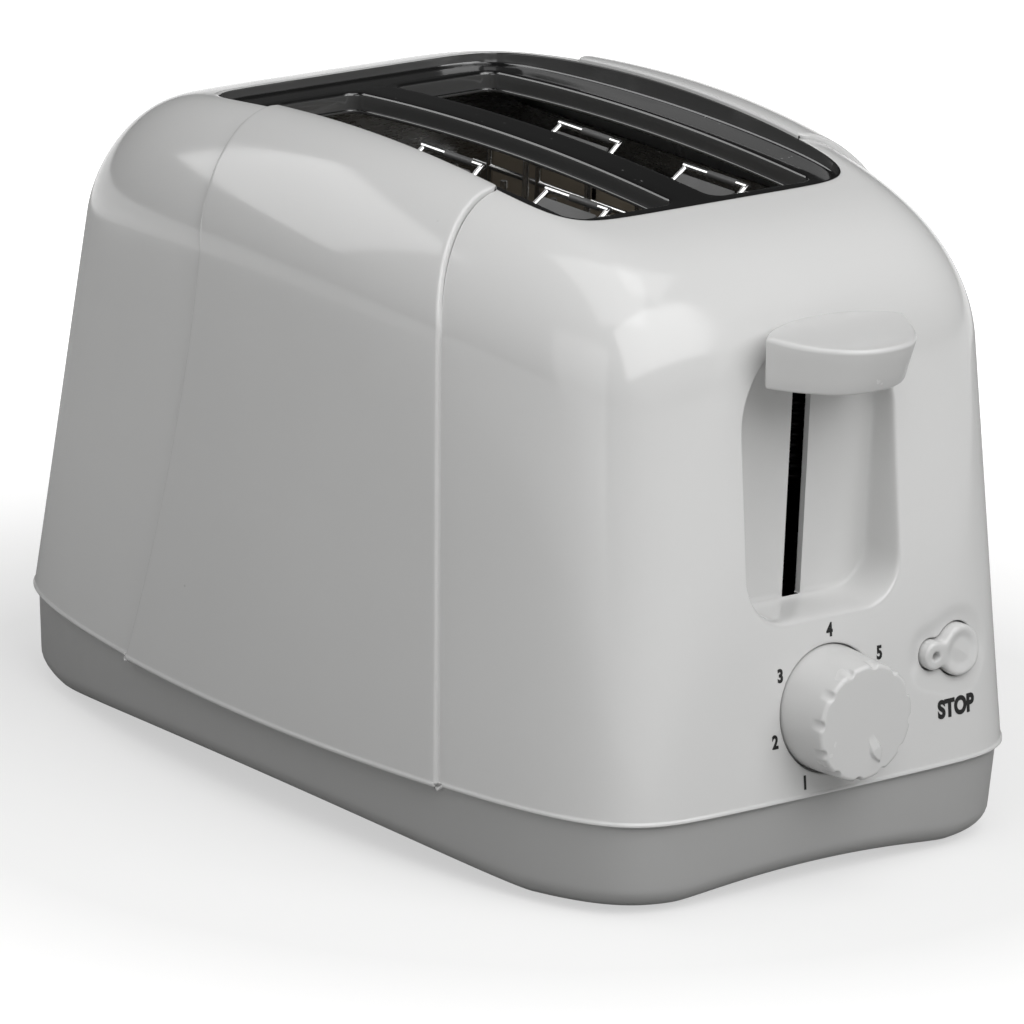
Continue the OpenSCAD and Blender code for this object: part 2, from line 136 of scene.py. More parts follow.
def end_height(x, z, end):
    """Y of the outer surface of the front or rear end at each x and z."""
    x, z = np.atleast_1d(x).astype(float), np.atleast_1d(z).astype(float)
    y = np.full(x.shape, end * FIRST_GUESS)
    for _ in range(40):
        v = np.clip((z - RIM_Z) / (crest(y, PROUD * CREST_SHARE) - RIM_Z), 0, 0.999)
        a, b, bow, ends, y0 = (np.interp(v, RISE_TABLE, END_TABLE[:, k]) for k in range(5))
        ux = np.abs(x) / (b - bow)
        for _ in range(6):
            uy = (1 - np.clip(ux, 0, 0.999) ** CORNER) ** (1 / CORNER)
            ux = np.abs(x) / (b - bow * uy * uy)
        uy = (1 - np.clip(ux, 0, 0.999) ** CORNER) ** (1 / CORNER)
        y = end * uy * (a - ends * ux * ux) + y0
    return y


# Rises of the rows: even up the wall, closer together round the shoulder
LOW_RISES = [0.005, 0.0064, 0.0078, 0.0092, 0.0106, 0.013, 0.02, 0.03, 0.04, 0.05]
ROWS = LOW_RISES + list(np.linspace(0.07, 0.75, 44))
ROWS += [0.75 + 0.25 * math.sin(math.radians(p)) ** (2 / 2.3) for p in np.linspace(4, 90, 42)]


def run_length(p):
    """Length along a row of points, from its first point to each."""
    return np.concatenate([[0], np.cumsum(np.linalg.norm(np.diff(p, axis=0), axis=1))])


def seam_turn(v, seam, set_back, end):
    """Turn on the right-hand side where the row at rise v meets a seam."""
    turns = np.linspace(end * 88, 0, 1500)
    p = outline(v, turns, set_back)
    off = end * (p[:, 1] - seam(p[:, 2]))
    k = int(np.argmax(off < 0))
    w = off[k - 1] / (off[k - 1] - off[k])
    return float(mix(turns[k - 1], turns[k], w))


def spread_turns(v, start, stop, parts, set_back):
    """Turns from start to stop whose points share out the row's length as parts says."""
    turns = np.linspace(start, stop, 900)
    p = outline(v, turns, set_back)
    run = run_length(p)
    return np.interp(np.asarray(parts) * run[-1], run, turns)


# -------- mesh helpers
WELD = 1e-3


def arc_steps(*degrees):
    """Sine and cosine of each angle."""
    return [(math.sin(math.radians(p)), math.cos(math.radians(p))) for p in degrees]


def level_row(xy, z):
    """Points of a flat loop at height z, a number or one for each point."""
    return np.stack([xy[:, 0], xy[:, 1], np.broadcast_to(z, len(xy))], -1)


class Build:
    """Collects points and faces for one piece."""

    def __init__(self):
        self.points = []
        self.faces = []

    def add(self, pts):
        start = len(self.points)
        self.points.extend([tuple(map(float, p)) for p in pts])
        return list(range(start, len(self.points)))

    def grid(self, rows, closed=False, flip=False):
        for a, b in zip(rows[:-1], rows[1:]):
            n = len(a)
            for i in range(n if closed else n - 1):
                j = (i + 1) % n
                f = (a[i], a[j], b[j], b[i])
                self.faces.append(f[::-1] if flip else f)

    def fill(self, outer, holes, inner, plane, lift, flip=False):
        """Triangles between an outer loop and holes, with more points inside them."""
        u, w = plane
        loops = [outer] + holes
        coords, edges, ids = [], [], []
        for loop in loops:
            start = len(coords)
            for k in loop:
                coords.append(Vector((self.points[k][u], self.points[k][w])))
                ids.append(k)
            edges += [(start + i, start + (i + 1) % len(loop)) for i in range(len(loop))]
        fresh = [Vector((float(p[0]), float(p[1]))) for p in inner]
        verts, _, faces, orig, _, _ = geometry.delaunay_2d_cdt(coords + fresh, edges, [], 0, 1e-5)
        new = np.array([[p[0], p[1]] for p in verts])
        missing = [i for i, o in enumerate(orig) if not any(k < len(ids) for k in o)]
        where = {i: min(k for k in o if k < len(ids)) for i, o in enumerate(orig) if i not in set(missing)}
        index = {i: ids[k] for i, k in where.items()}
        if missing:
            made = self.add(lift(new[missing][:, 0], new[missing][:, 1]))
            index.update(dict(zip(missing, made)))
        rings = [np.array([[self.points[k][u], self.points[k][w]] for k in loop]) for loop in loops]
        centres = np.array([new[list(f)].mean(0) for f in faces])
        keep = inside(centres, rings[0])
        for hole in rings[1:]:
            keep &= ~inside(centres, hole)
        for f, ok in zip(faces, keep):
            if not ok:
                continue
            a, b, c = new[f[0]], new[f[1]], new[f[2]]
            area = (b[0] - a[0]) * (c[1] - a[1]) - (b[1] - a[1]) * (c[0] - a[0])
            f = [index[k] for k in f]
            if (area < 0) != flip:
                f = f[::-1]
            if len(set(f)) == 3:
                self.faces.append(tuple(f))

    def sweep(self, section, stations):
        """A tube: an (x, z) section set at each y, its ends left open."""
        ids = [self.add([(x, y, z) for x, z in section]) for y in stations]
        self.grid(ids, closed=True)
        return ids

    def piece(self, name, mat, body="chassis", stands_for=(), sharp=35, thickness=0):
        mesh = bpy.data.meshes.new(name)
        pts = np.array(self.points) + (0, CENTRE_Y, 0)
        mesh.from_pydata((pts * MM).tolist(), [], self.faces)
        bm = bmesh.new()
        bm.from_mesh(mesh)
        bmesh.ops.remove_doubles(bm, verts=bm.verts, dist=WELD * MM)
        loose = [v for v in bm.verts if not v.link_faces]
        bmesh.ops.delete(bm, geom=loose, context="VERTS")
        bm.to_mesh(mesh)
        bm.free()
        mesh.update()
        ob = bpy.data.objects.new(name, mesh)
        bpy.context.scene.collection.objects.link(ob)
        if thickness:
            thick = ob.modifiers.new("thickness", "SOLIDIFY")
            thick.thickness = thickness * MM
            thick.offset = -1
            apply_modifiers(ob)
        shade(ob, sharp)
        ob.data.materials.append(mat)
        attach(ob, body)
        if stands_for:
            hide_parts(*stands_for)


def inside(pts, loop):
    """Whether each point lies inside a closed loop."""
    hit = np.zeros(len(pts), bool)
    x, y = pts[:, 0], pts[:, 1]
    for (x0, y0), (x1, y1) in zip(loop, np.roll(loop, -1, 0)):
        if y0 == y1:
            continue
        across = (y0 > y) != (y1 > y)
        hit ^= across & (x < (x1 - x0) * (y - y0) / (y1 - y0) + x0)
    return hit


def clear_of(pts, loops, gap):
    """Only the points that keep a gap from every loop."""
    edge = np.concatenate(loops)
    near = np.array([np.min(np.hypot(*(edge - p).T)) for p in pts])
    return pts[near > gap]


def apply_modifiers(ob):
    graph = bpy.context.evaluated_depsgraph_get()
    mesh = bpy.data.meshes.new_from_object(ob.evaluated_get(graph))
    ob.modifiers.clear()
    ob.data = mesh


def shade(ob, angle):
    for p in ob.data.polygons:
        p.use_smooth = True
    ob.data.set_sharp_from_angle(angle=math.radians(angle))


def rounded_box(x0, x1, y0, y1, r_low, r_high, n_arc, n_side, n_flat):
    """Closed loop, anticlockwise from the middle of the lower side."""
    xc = (x0 + x1) / 2
    out = []

    def arc(cx, cy, r, start):
        for k in range(n_arc + 1):
            t = math.radians(start + 90 * k / n_arc)
            out.append((cx + r * math.cos(t), cy + r * math.sin(t)))

    def run(p, q, n):
        for k in range(1, n):
            out.append((mix(p[0], q[0], k / n), mix(p[1], q[1], k / n)))

    out.append((xc, y0))
    run((xc, y0), (x1 - r_low, y0), n_flat)
    arc(x1 - r_low, y0 + r_low, r_low, -90)
    run((x1, y0 + r_low), (x1, y1 - r_high), n_side)
    arc(x1 - r_high, y1 - r_high, r_high, 0)
    run((x1 - r_high, y1), (x0 + r_high, y1), 2 * n_flat)
    arc(x0 + r_high, y1 - r_high, r_high, 90)
    run((x0, y1 - r_high), (x0, y0 + r_low), n_side)
    arc(x0 + r_low, y0 + r_low, r_low, 180)
    run((x0 + r_low, y0), (xc, y0), n_flat)
    return np.array(out)


# -------- materials
def nodes_of(name):
    mat = bpy.data.materials.new(name)
    mat.use_nodes = True
    tree = mat.node_tree
    return mat, tree, tree.nodes["Principled BSDF"]


def link(tree, a, b):
    tree.links.new(a, b)


def noise(tree, scale, detail=3.0, rough=0.5, stretch=None):
    coords = tree.nodes.new("ShaderNodeTexCoord")
    tex = tree.nodes.new("ShaderNodeTexNoise")
    tex.inputs["Scale"].default_value = scale
    tex.inputs["Detail"].default_value = detail
    tex.inputs["Roughness"].default_value = rough
    if stretch:
        mapping = tree.nodes.new("ShaderNodeMapping")
        mapping.inputs["Scale"].default_value = stretch
        link(tree, coords.outputs["Object"], mapping.inputs["Vector"])
        link(tree, mapping.outputs["Vector"], tex.inputs["Vector"])
    else:
        link(tree, coords.outputs["Object"], tex.inputs["Vector"])
    return tex.outputs["Fac"]


def ramp(tree, value, stops):
    node = tree.nodes.new("ShaderNodeValToRGB")
    while len(node.color_ramp.elements) < len(stops):
        node.color_ramp.elements.new(0.5)
    for e, (at, colour) in zip(node.color_ramp.elements, stops):
        e.position = at
        e.color = (*colour, 1)
    link(tree, value, node.inputs["Fac"])
    return node.outputs["Color"]


def ranged(tree, value, low, high, from_low=0.3, from_high=0.7):
    node = tree.nodes.new("ShaderNodeMapRange")
    node.inputs["From Min"].default_value = from_low
    node.inputs["From Max"].default_value = from_high
    node.inputs["To Min"].default_value = low
    node.inputs["To Max"].default_value = high
    link(tree, value, node.inputs["Value"])
    return node.outputs["Result"]


def maths(tree, a, b, operation="MULTIPLY"):
    node = tree.nodes.new("ShaderNodeMath")
    node.operation = operation
    link(tree, a, node.inputs[0])
    link(tree, b, node.inputs[1])
    return node.outputs["Value"]


def blend(tree, factor, plain, socket, plain_input="B", socket_input="A"):
    """Mix of a plain colour and a socket's colour."""
    node = tree.nodes.new("ShaderNodeMix")
    node.data_type = "RGBA"
    node.inputs[plain_input].default_value = (*plain, 1)
    link(tree, factor, node.inputs["Factor"])
    link(tree, socket, node.inputs[socket_input])
    return node.outputs["Result"]


def bump(tree, shader, value, height):
    node = tree.nodes.new("ShaderNodeBump")
    node.inputs["Strength"].default_value = 1.0
    node.inputs["Distance"].default_value = height * MM
    link(tree, value, node.inputs["Height"])
    link(tree, node.outputs["Normal"], shader.inputs["Normal"])


def grey(v):
    return (v, v, v * 0.992)


SPOT_R = 0.00022        # metres
SPECK_CELL, DUST_CELL, DUST_LEVEL = 55, 420, 0.3


def plastic(name, level, rough, spread=0.03, grain=700, grain_h=0.004, specks=0.0, dust=0.0, tint=None):
    """Moulded plastic: faint flow marks, uneven gloss, fine skin texture and a few dark specks."""
    mat, tree, shader = nodes_of(name)
    base = tint or grey(level)
    flow = noise(tree, 14, 2)
    lighter = tuple(min(1, c * (1 + spread)) for c in base)
    darker = tuple(c * (1 - spread) for c in base)
    colour = ramp(tree, flow, [(0.35, darker), (0.65, lighter)])
    for amount, cell, spot_level in ((specks, SPECK_CELL, level * 0.35), (dust, DUST_CELL, DUST_LEVEL)):
        if not amount:
            continue
        coords = tree.nodes.new("ShaderNodeTexCoord")
        cells = tree.nodes.new("ShaderNodeTexVoronoi")
        cells.inputs["Scale"].default_value = cell
        link(tree, coords.outputs["Object"], cells.inputs["Vector"])
        spot = ranged(tree, cells.outputs["Distance"], 1, 0, SPOT_R * cell, 2 * SPOT_R * cell)
        where = ranged(tree, noise(tree, cell * 0.42, 1), 0, amount, 0.6, 0.72)
        colour = blend(tree, maths(tree, spot, where), grey(spot_level), colour)
    link(tree, colour, shader.inputs["Base Color"])
    link(tree, ranged(tree, noise(tree, 60, 4), rough * 0.8, rough * 1.25), shader.inputs["Roughness"])
    shader.inputs["IOR"].default_value = 1.5
    bump(tree, shader, noise(tree, grain, 2), grain_h)
    return mat


METAL_GRAIN_H = 0.003


def metal(name, level, rough, stretch=(1, 1, 1), scale=500, stain=0.12, tint=None):
    """Metal with drawn or rolled grain and slightly cloudy plating."""
    mat, tree, shader = nodes_of(name)
    shader.inputs["Metallic"].default_value = 1.0
    base = tint or grey(level)
    cloudy = noise(tree, 45, 4)
    colour = ramp(tree, cloudy, [(0.3, tuple(c * (1 - stain) for c in base)), (0.7, base)])
    link(tree, colour, shader.inputs["Base Color"])
    grain = noise(tree, scale, 3, 0.6, stretch)
    link(tree, ranged(tree, grain, rough * 0.7, rough * 1.3), shader.inputs["Roughness"])
    bump(tree, shader, grain, METAL_GRAIN_H)
    return mat


def lighter_walls(mat, level):
    """Painted reflection: faces that stand upright are painted greyer than the ones that face up."""
    tree = mat.node_tree
    shader = tree.nodes["Principled BSDF"]
    coords = tree.nodes.new("ShaderNodeTexCoord")
    parts = tree.nodes.new("ShaderNodeSeparateXYZ")
    link(tree, coords.outputs["Normal"], parts.inputs["Vector"])
    upright = ranged(tree, parts.outputs["Z"], 1, 0, 0.15, 0.6)
    plain = shader.inputs["Base Color"].links[0].from_socket
    link(tree, blend(tree, upright, grey(level), plain), shader.inputs["Base Color"])


# grey of the painted reflection on the enamel's upright walls
WALL_REFLECTION_LEVEL = 0.07
M_SHELL = plastic("shell_plastic", 0.62, 0.12, 0.01, 900, 0.002, specks=0.7)
M_PANEL = plastic("panel_plastic", 0.60, 0.12, 0.01, 900, 0.002, specks=0.7)
M_CONTROL = plastic("control_plastic", 0.62, 0.22, 0.01, 900, 0.002)
M_BASE = plastic("base_plastic", 0.40, 0.42, 0.02, 1500, 0.01, specks=0.6)
M_DECK = plastic("deck_enamel", 0.004, 0.09, 0.2, 250, 0.002, dust=0.5)
M_DECK.node_tree.nodes["Principled BSDF"].inputs["IOR"].default_value = 1.9
# the deck's upright walls and slot walls get a painted grey reflection
lighter_walls(M_DECK, WALL_REFLECTION_LEVEL)
M_RUBBER = plastic("foot_rubber", 0.03, 0.7, 0.2, 1200, 0.02)
M_DARK = plastic("dark_plastic", 0.02, 0.5, 0.2, 900, 0.01)
M_INK = plastic("printed_ink", 0.004, 0.5, 0.1, 900, 0.002)
M_MICA = plastic("mica_sheet", 0.2, 0.45, 0.25, 300, 0.02, tint=(0.2, 0.17, 0.13))
M_BOARD = plastic("laminate", 0.05, 0.4, 0.2, 500, 0.006, tint=(0.02, 0.09, 0.04))
M_NYLON = plastic("nylon", 0.5, 0.4, 0.04, 700, 0.006)
M_LAMP = plastic("lamp_lens", 0.1, 0.15, 0.1, 500, 0.002, tint=(0.2, 0.01, 0.01))
M_PLATED = metal("plated_sheet", 0.33, 0.3, (1, 1, 14), 220)
M_BLACKENED = metal("blackened_steel", 0.035, 0.4, stain=0.3)
M_ZINC = metal("zinc_plate", 0.5, 0.35)
M_WIRE = metal("bright_wire", 0.75, 0.2, (6, 1, 6), 400, 0.08)
M_RIBBON = metal("ribbon_alloy", 0.2, 0.45, (1, 8, 1), 500, 0.3, tint=(0.2, 0.18, 0.16))
M_BRASS = metal("brass_strip", 0.5, 0.3, tint=(0.6, 0.42, 0.16))
M_FLAP = plastic("flap_enamel", 0.10, 0.45, 0.3, 1300, 0.06)

KEPT = (
    (M_RUBBER, "rubber_feet cord_inlet"),
    (M_ZINC, "base_screws armature_plate electromagnet"),
    (M_PLATED, "crumb_tray front_bulkhead rear_bulkhead left_reflector right_reflector"),
    (M_PLATED, "left_bread_rack right_bread_rack"),
    (M_MICA, "left_heater_board centre_heater_board right_heater_board"),
    (M_RIBBON, "heater_ribbons"),
    (M_WIRE, "left_outer_guard left_inner_guard right_inner_guard right_outer_guard"),
    (M_BLACKENED, "guide_rod lift_spring carriage_bracket"),
    (M_DARK, "contact_block potentiometer stop_switch"),
    (M_BRASS, "moving_contact"),
    (M_BOARD, "circuit_board"),
    (M_NYLON, "dial_shaft terminal_block"),
    (M_LAMP, "indicator_led"),
)
for mat, names in KEPT:
    for node in names.split():
        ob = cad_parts[node]
        if ob.material_slots:
            for s in ob.material_slots:
                s.material = mat
        else:
            ob.data.materials.append(mat)

# -------- end caps
ZONE_X = 0.83           # the built-up part of an end spans this much of its width
N_MID, N_SIDE = 84, 84
LIP_R = 0.9
FRONT_ZONE, REAR_ZONE = (30.0, 166.5), (29.5, 52.0)
FILL_STEP = 1.7


def zone_turn(x, end):
    uy = (1 - abs(x) ** CORNER) ** (1 / CORNER)
    return math.degrees(math.atan2(end * uy, x))


def cap_turns(v, end):
    """Turns of one row of a cap, from the left seam round its end to the right seam."""
    seam = front_seam if end == FRONT else rear_seam
    stop = seam_turn(v, lambda z: seam(z) - end * 0.5, PROUD, end)
    side_a = zone_turn(ZONE_X, end)
    parts = np.linspace(0, 1, N_SIDE + 1)
    right = spread_turns(v, side_a, stop, parts, PROUD)
    middle = np.array([zone_turn(x, end) for x in np.linspace(-ZONE_X, ZONE_X, N_MID + 1)])
    left = -180 - right if end == FRONT else 180 - right
    return np.concatenate([left[::-1][:-1], middle, right[1:]])


def top_rows(turns, set_back):
    """Rows over the rolled edge of the opening and down the collar, above a full row's turns."""
    rows = []
    drop = set_back * CREST_SHARE
    for sin, cos in arc_steps(0, 30, 60, 90):
        end_in = WALL - LIP_R * (1 - sin)
        side_in = mix(max(WALL - LIP_R, set_back + rim_inset(1) + 0.05), WALL, sin)
        down = LIP_R * (1 - cos)
        x, y = ring(turns, TOP_L / 2 - end_in, TOP_W / 2 - side_in, TOP_BOW, 0, TOP_Y)
        rows.append(np.stack([x, y, crest(y, drop) - down], -1))
    x, y = ring(turns, TOP_L / 2 - WALL, TOP_W / 2 - WALL, TOP_BOW, 0, TOP_Y)
    for down in (4.0, 9.5):
        rows.append(np.stack([x, y, crest(y, drop) - down], -1))
    return rows


UNDER_R = 0.7


def under_rows(turns, set_back):
    """Rows round the lower edge and a little way up inside, from the inside out."""
    steps = [(3.0, 2.5), (3.0, 0.7), (2.3, 0.0), (UNDER_R, 0.0)]
    steps += [(UNDER_R * (1 - sin), UNDER_R * (1 - cos)) for sin, cos in arc_steps(35, 65)]
    rows = []
    for inset, up in steps:
        x, y = ring(turns, *sizes(0, set_back + RIM_IN + inset, RIM_IN + inset))
        rows.append(np.stack([x, y, np.full(len(x), RIM_Z + up)], -1))
    return rows


# The recess behind the lever
RECESS_Y = -118.0
SLOT_HALF, SLOT_LOW, SLOT_HIGH = 3.3, 76.9, 155.0
RECESS = dict(w=28.0, low=74.4, high=152.5, r_low=14.0, r_high=28.0 - SLOT_HALF)
RECESS_FADE = 155.0, 15.0
RECESS_STEPS = [
    # inward offset and share of the depth
    (0.0, 0.0), (0.3, 0.008), (0.6, 0.035), (0.85, 0.085), (1.05, 0.17), (1.15, 0.3),
    (1.22, 0.5), (1.3, 0.7), (1.42, 0.84), (1.65, 0.93), (2.0, 0.98), (2.5, 1.0),
]
KNOB_Z, KNOB_Y, KNOB_R, KNOB_H = 49.6, -136.7, 17.4, 14.8
STOP_X, STOP_Z, STOP_R = 48.0, 57.8, 7.2
LAMP_X, LAMP_R = 38.3, 4.1
DISH_W, DISH_H = 6.0, 0.9
DISH_START = 0.4
KEY_BLEND = 2.6         # how softly the button's two lobes run together
POCKET = (0.9, 0.62, 0.42, 0.35, 0.35)
POCKET_DEPTHS = (0, 0.05, 0.25, 0.6)
SHAFT_HOLE_R, KNOB_SEAT_Y = 3.8, -131.5


def recess_loop(d):
    """Outline of the recess drawn in by d, anticlockwise, open where the lever's slot leaves it."""
    r = RECESS
    loop = rounded_box(-r["w"] + d, r["w"] - d, r["low"] + d, r["high"] - d,
                       r["r_low"] - d, r["r_high"] - d, 22, 46, 12)
    start = int(np.argmin(np.hypot(loop[:, 0] + SLOT_HALF, loop[:, 1] - r["high"] + d)))
    loop = np.roll(loop, -start, 0)
    stop = int(np.argmin(np.hypot(loop[:, 0] - SLOT_HALF, loop[:, 1] - r["high"] + d)))
    return loop[:stop + 1]


def key_distance(x, z):
    """Distance outside the stop button's outline."""
    big = np.hypot(x - STOP_X, z - STOP_Z) - STOP_R
    small = np.hypot(x - LAMP_X, z - STOP_Z) - LAMP_R
    h = np.clip(0.5 + 0.5 * (small - big) / KEY_BLEND, 0, 1)
    return mix(small, big, h) - KEY_BLEND * h * (1 - h)


KEY_CENTRE = (43.6, STOP_Z)


def key_loop(level, n=140):
    """Loop at a distance outside the button's outline, anticlockwise."""
    angles = np.arange(n) * 2 * math.pi / n
    near, far = np.zeros(n), np.full(n, 26.0)
    for _ in range(40):
        mid = (near + far) / 2
        x = KEY_CENTRE[0] + mid * np.cos(angles)
        z = KEY_CENTRE[1] + mid * np.sin(angles)
        out = key_distance(x, z) > level
        far = np.where(out, mid, far)
        near = np.where(out, near, mid)
    return np.stack([KEY_CENTRE[0] + near * np.cos(angles), KEY_CENTRE[1] + near * np.sin(angles)], -1)


def circle_loop(r, n, x=0.0, z=0.0):
    t = np.arange(n) * 2 * math.pi / n
    return np.stack([x + r * np.cos(t), z + r * np.sin(t)], -1)


def front_surface(x, z):
    """Front end with the shallow dish round the stop button."""
    y = end_height(x, z, FRONT)
    d = key_distance(np.atleast_1d(x), np.atleast_1d(z))
    flat = smooth((d - DISH_START) / (DISH_W - DISH_START))
    return y + DISH_H * (1 - flat)


def floor_depth(x, z):
    """How far the recess floor lies behind the front surface, fading to nothing at the top."""
    gap = RECESS_Y - end_height(x, z, FRONT)
    high, reach = RECESS_FADE
    return (gap + np.sqrt(gap * gap + 1.0)) / 2 * smooth((high - z) / reach)


def sampled(x0, x1, z0, z1, step):
    xs, zs = np.arange(x0, x1, step), np.arange(z0, z1, step)
    return np.array([(x, z) for x in xs for z in zs])


def cap(name, end):
    b = Build()
    turns = [cap_turns(v, end) for v in ROWS]
    rows = [outline(v, t, PROUD) for v, t in zip(ROWS, turns)]
    rows = under_rows(turns[0], PROUD) + rows + top_rows(turns[-1], PROUD)
    below = len(rows) - len(ROWS) - len(top_rows(turns[-1], PROUD))
    ids = [b.add(r) for r in rows]
    c0, c1 = N_SIDE, N_SIDE + N_MID
    flip = end == REAR
    z_low, z_high = FRONT_ZONE if end == FRONT else REAR_ZONE
    mid_z = [r[N_SIDE + N_MID // 2][2] for r in rows]
    span = [i for i in range(below, below + len(ROWS)) if z_low <= mid_z[i] <= z_high]
    i0, i1 = span[0], span[-1]
    for lo, hi, cols in ((0, len(rows) - 1, (0, c0)), (0, len(rows) - 1, (c1, len(rows[0]) - 1)),
                         (0, i0, (c0, c1)), (i1, len(rows) - 1, (c0, c1))):
        b.grid([ids[i][cols[0]:cols[1] + 1] for i in range(lo, hi + 1)], flip=flip)
    edge = [ids[i0][c] for c in range(c0, c1 + 1)]
    edge += [ids[i][c1] for i in range(i0 + 1, i1 + 1)]
    edge += [ids[i1][c] for c in range(c1 - 1, c0 - 1, -1)]
    edge += [ids[i][c0] for i in range(i1 - 1, i0, -1)]
    rim = np.array([[b.points[k][0], b.points[k][2]] for k in edge])
    fill_points = sampled(-70, 70, rim[:, 1].min(), rim[:, 1].max(), FILL_STEP)
    fill_points = fill_points[inside(fill_points, rim)]
    if end == FRONT:
        front_details(b, edge, rim, fill_points)
    else:
        rear_details(b, edge, rim, fill_points)
    b.piece(name, M_SHELL, stands_for=[name], thickness=2.0, sharp=40)


def lifted(surface):
    return lambda x, z: np.stack([x, surface(x, z), z], -1)


def hole_rows(b, loops, surface, depths):
    """Rows from a hole's edge inwards; loops are (x, z) outlines, depths are behind the surface."""
    ids = []
    for loop, depth in zip(loops, depths):
        y = surface(loop[:, 0], loop[:, 1]) + depth
        ids.append(b.add(np.stack([loop[:, 0], y, loop[:, 1]], -1)))
    b.grid(ids, closed=True)
    return ids


def front_details(b, edge, rim, pts):
    key = key_loop(POCKET[0])
    knob = circle_loop(KNOB_R + POCKET[0], 150, 0, KNOB_Z)
    # the recess: rows down its wall, then its floor on both sides of the slot
    loops = [recess_loop(d) for d, _ in RECESS_STEPS]
    ids = []
    for loop, (_, share) in zip(loops, RECESS_STEPS):
        x, z = loop.T
        y = front_surface(x, z) + share * floor_depth(x, z)
        ids.append(b.add(np.stack([x, y, z], -1)))
    b.grid(ids)

    def floor_lift(x, z):
        return np.stack([x, front_surface(x, z) + floor_depth(x, z), z], -1)

    r_slot = 0.5
    corner = [(SLOT_HALF - r_slot * (1 - math.cos(t)), SLOT_LOW + r_slot * (1 - math.sin(t)))
              for t in np.radians([0, 30, 60, 90])]
    side = [(SLOT_HALF, z) for z in np.linspace(loops[-1][-1][1], SLOT_LOW + r_slot, 46)[1:-1]]
    right_side = side + corner + [(1.4, SLOT_LOW)]
    slot = np.array(right_side + [(-x, z) for x, z in right_side[::-1]])
    slot_ids = b.add(floor_lift(*slot.T))
    outer = np.concatenate([loops[-1], slot])
    base = sampled(-27, 27, 77, 152, FILL_STEP)
    base = clear_of(base[inside(base, outer)], [outer], 0.9)
    b.fill(ids[-1] + slot_ids, [], base, (0, 2), floor_lift)
    # the slot's upper end, cut into the surface above the recess
    turn = np.radians(np.arange(0, 91, 15))
    end_r = 1.2
    side = [(SLOT_HALF, z) for z in np.linspace(RECESS["high"], SLOT_HIGH - end_r, 4)[1:-1]]
    top = [(SLOT_HALF - end_r * (1 - math.cos(t)), SLOT_HIGH - end_r * (1 - math.sin(t))) for t in turn]
    notch = side + top
    notch = np.array(notch + [(-x, z) for x, z in notch[::-1]])
    notch_ids = b.add(lifted(front_surface)(*notch.T))
    recess = np.concatenate([loops[0], notch])
    # pockets of the stop button and of the knob
    key_ids = hole_rows(b, [key_loop(c) for c in POCKET], front_surface, (*POCKET_DEPTHS, 6.5))
    knob_ids = hole_rows(b, [circle_loop(KNOB_R + c, 150, 0, KNOB_Z) for c in POCKET],
                         front_surface, (*POCKET_DEPTHS, 3.0))
    seat = [(x, KNOB_SEAT_Y, z) for x, z in circle_loop(SHAFT_HOLE_R, 150, 0, KNOB_Z)]
    b.grid([knob_ids[-1], b.add(seat)], closed=True)
    bands = [key_loop(c) for c in (1.5, 2.2, 3.0, 3.9, 4.9, 6.0)]
    bands += [recess_loop(-c) for c in (0.9, 2.0)]
    bands += [circle_loop(KNOB_R + c, 120, 0, KNOB_Z) for c in (1.9, 3.2)]
    pts = pts[~inside(pts, recess) & ~inside(pts, key) & ~inside(pts, knob)]
    pts = clear_of(pts, bands + [recess, key, knob, rim], 1.0)
    extra = []
    for band in bands:
        band = band[inside(band, rim)]
        kept = clear_of(band, extra + [rim, recess, key, knob], 0.55)
        extra.append(kept)
    pts = np.concatenate([pts] + extra)
    b.fill(edge, [ids[0] + notch_ids, key_ids[0], knob_ids[0]], pts, (0, 2), lifted(front_surface))


INLET_X, INLET_Z, INLET_R = -50.0, 38.0, 6.2


def rear_details(b, edge, rim, pts):
    def surface(x, z):
        return end_height(x, z, REAR)

    hole = circle_loop(INLET_R, 60, INLET_X, INLET_Z)
    hole_ids = b.add(np.stack([hole[:, 0], surface(*hole.T), hole[:, 1]], -1))
    pts = pts[~inside(pts, hole)]
    pts = clear_of(pts, [hole, rim], 1.0)
    b.fill(edge, [hole_ids], pts, (0, 2), lifted(surface), flip=True)


cap("front_cap", FRONT)
cap("rear_cap", REAR)

# -------- side panels
N_PANEL = 90
EDGE_R, EDGE_DEEP = 0.9, 1.9


def panel_turns():
    """Turns of each row of the right-hand panel, from the front seam to the rear seam."""
    surface = []
    for v in ROWS:
        start = seam_turn(v, front_seam, 0, FRONT)
        stop = seam_turn(v, rear_seam, 0, REAR)
        turns = spread_turns(v, start, stop, np.linspace(0, 1, 400), 0)
        p = outline(v, turns, 0)
        run = run_length(p)
        body = np.linspace(EDGE_R, run[-1] - EDGE_R, N_PANEL)
        surface.append(np.interp(body, run, turns))
    return np.array(surface)


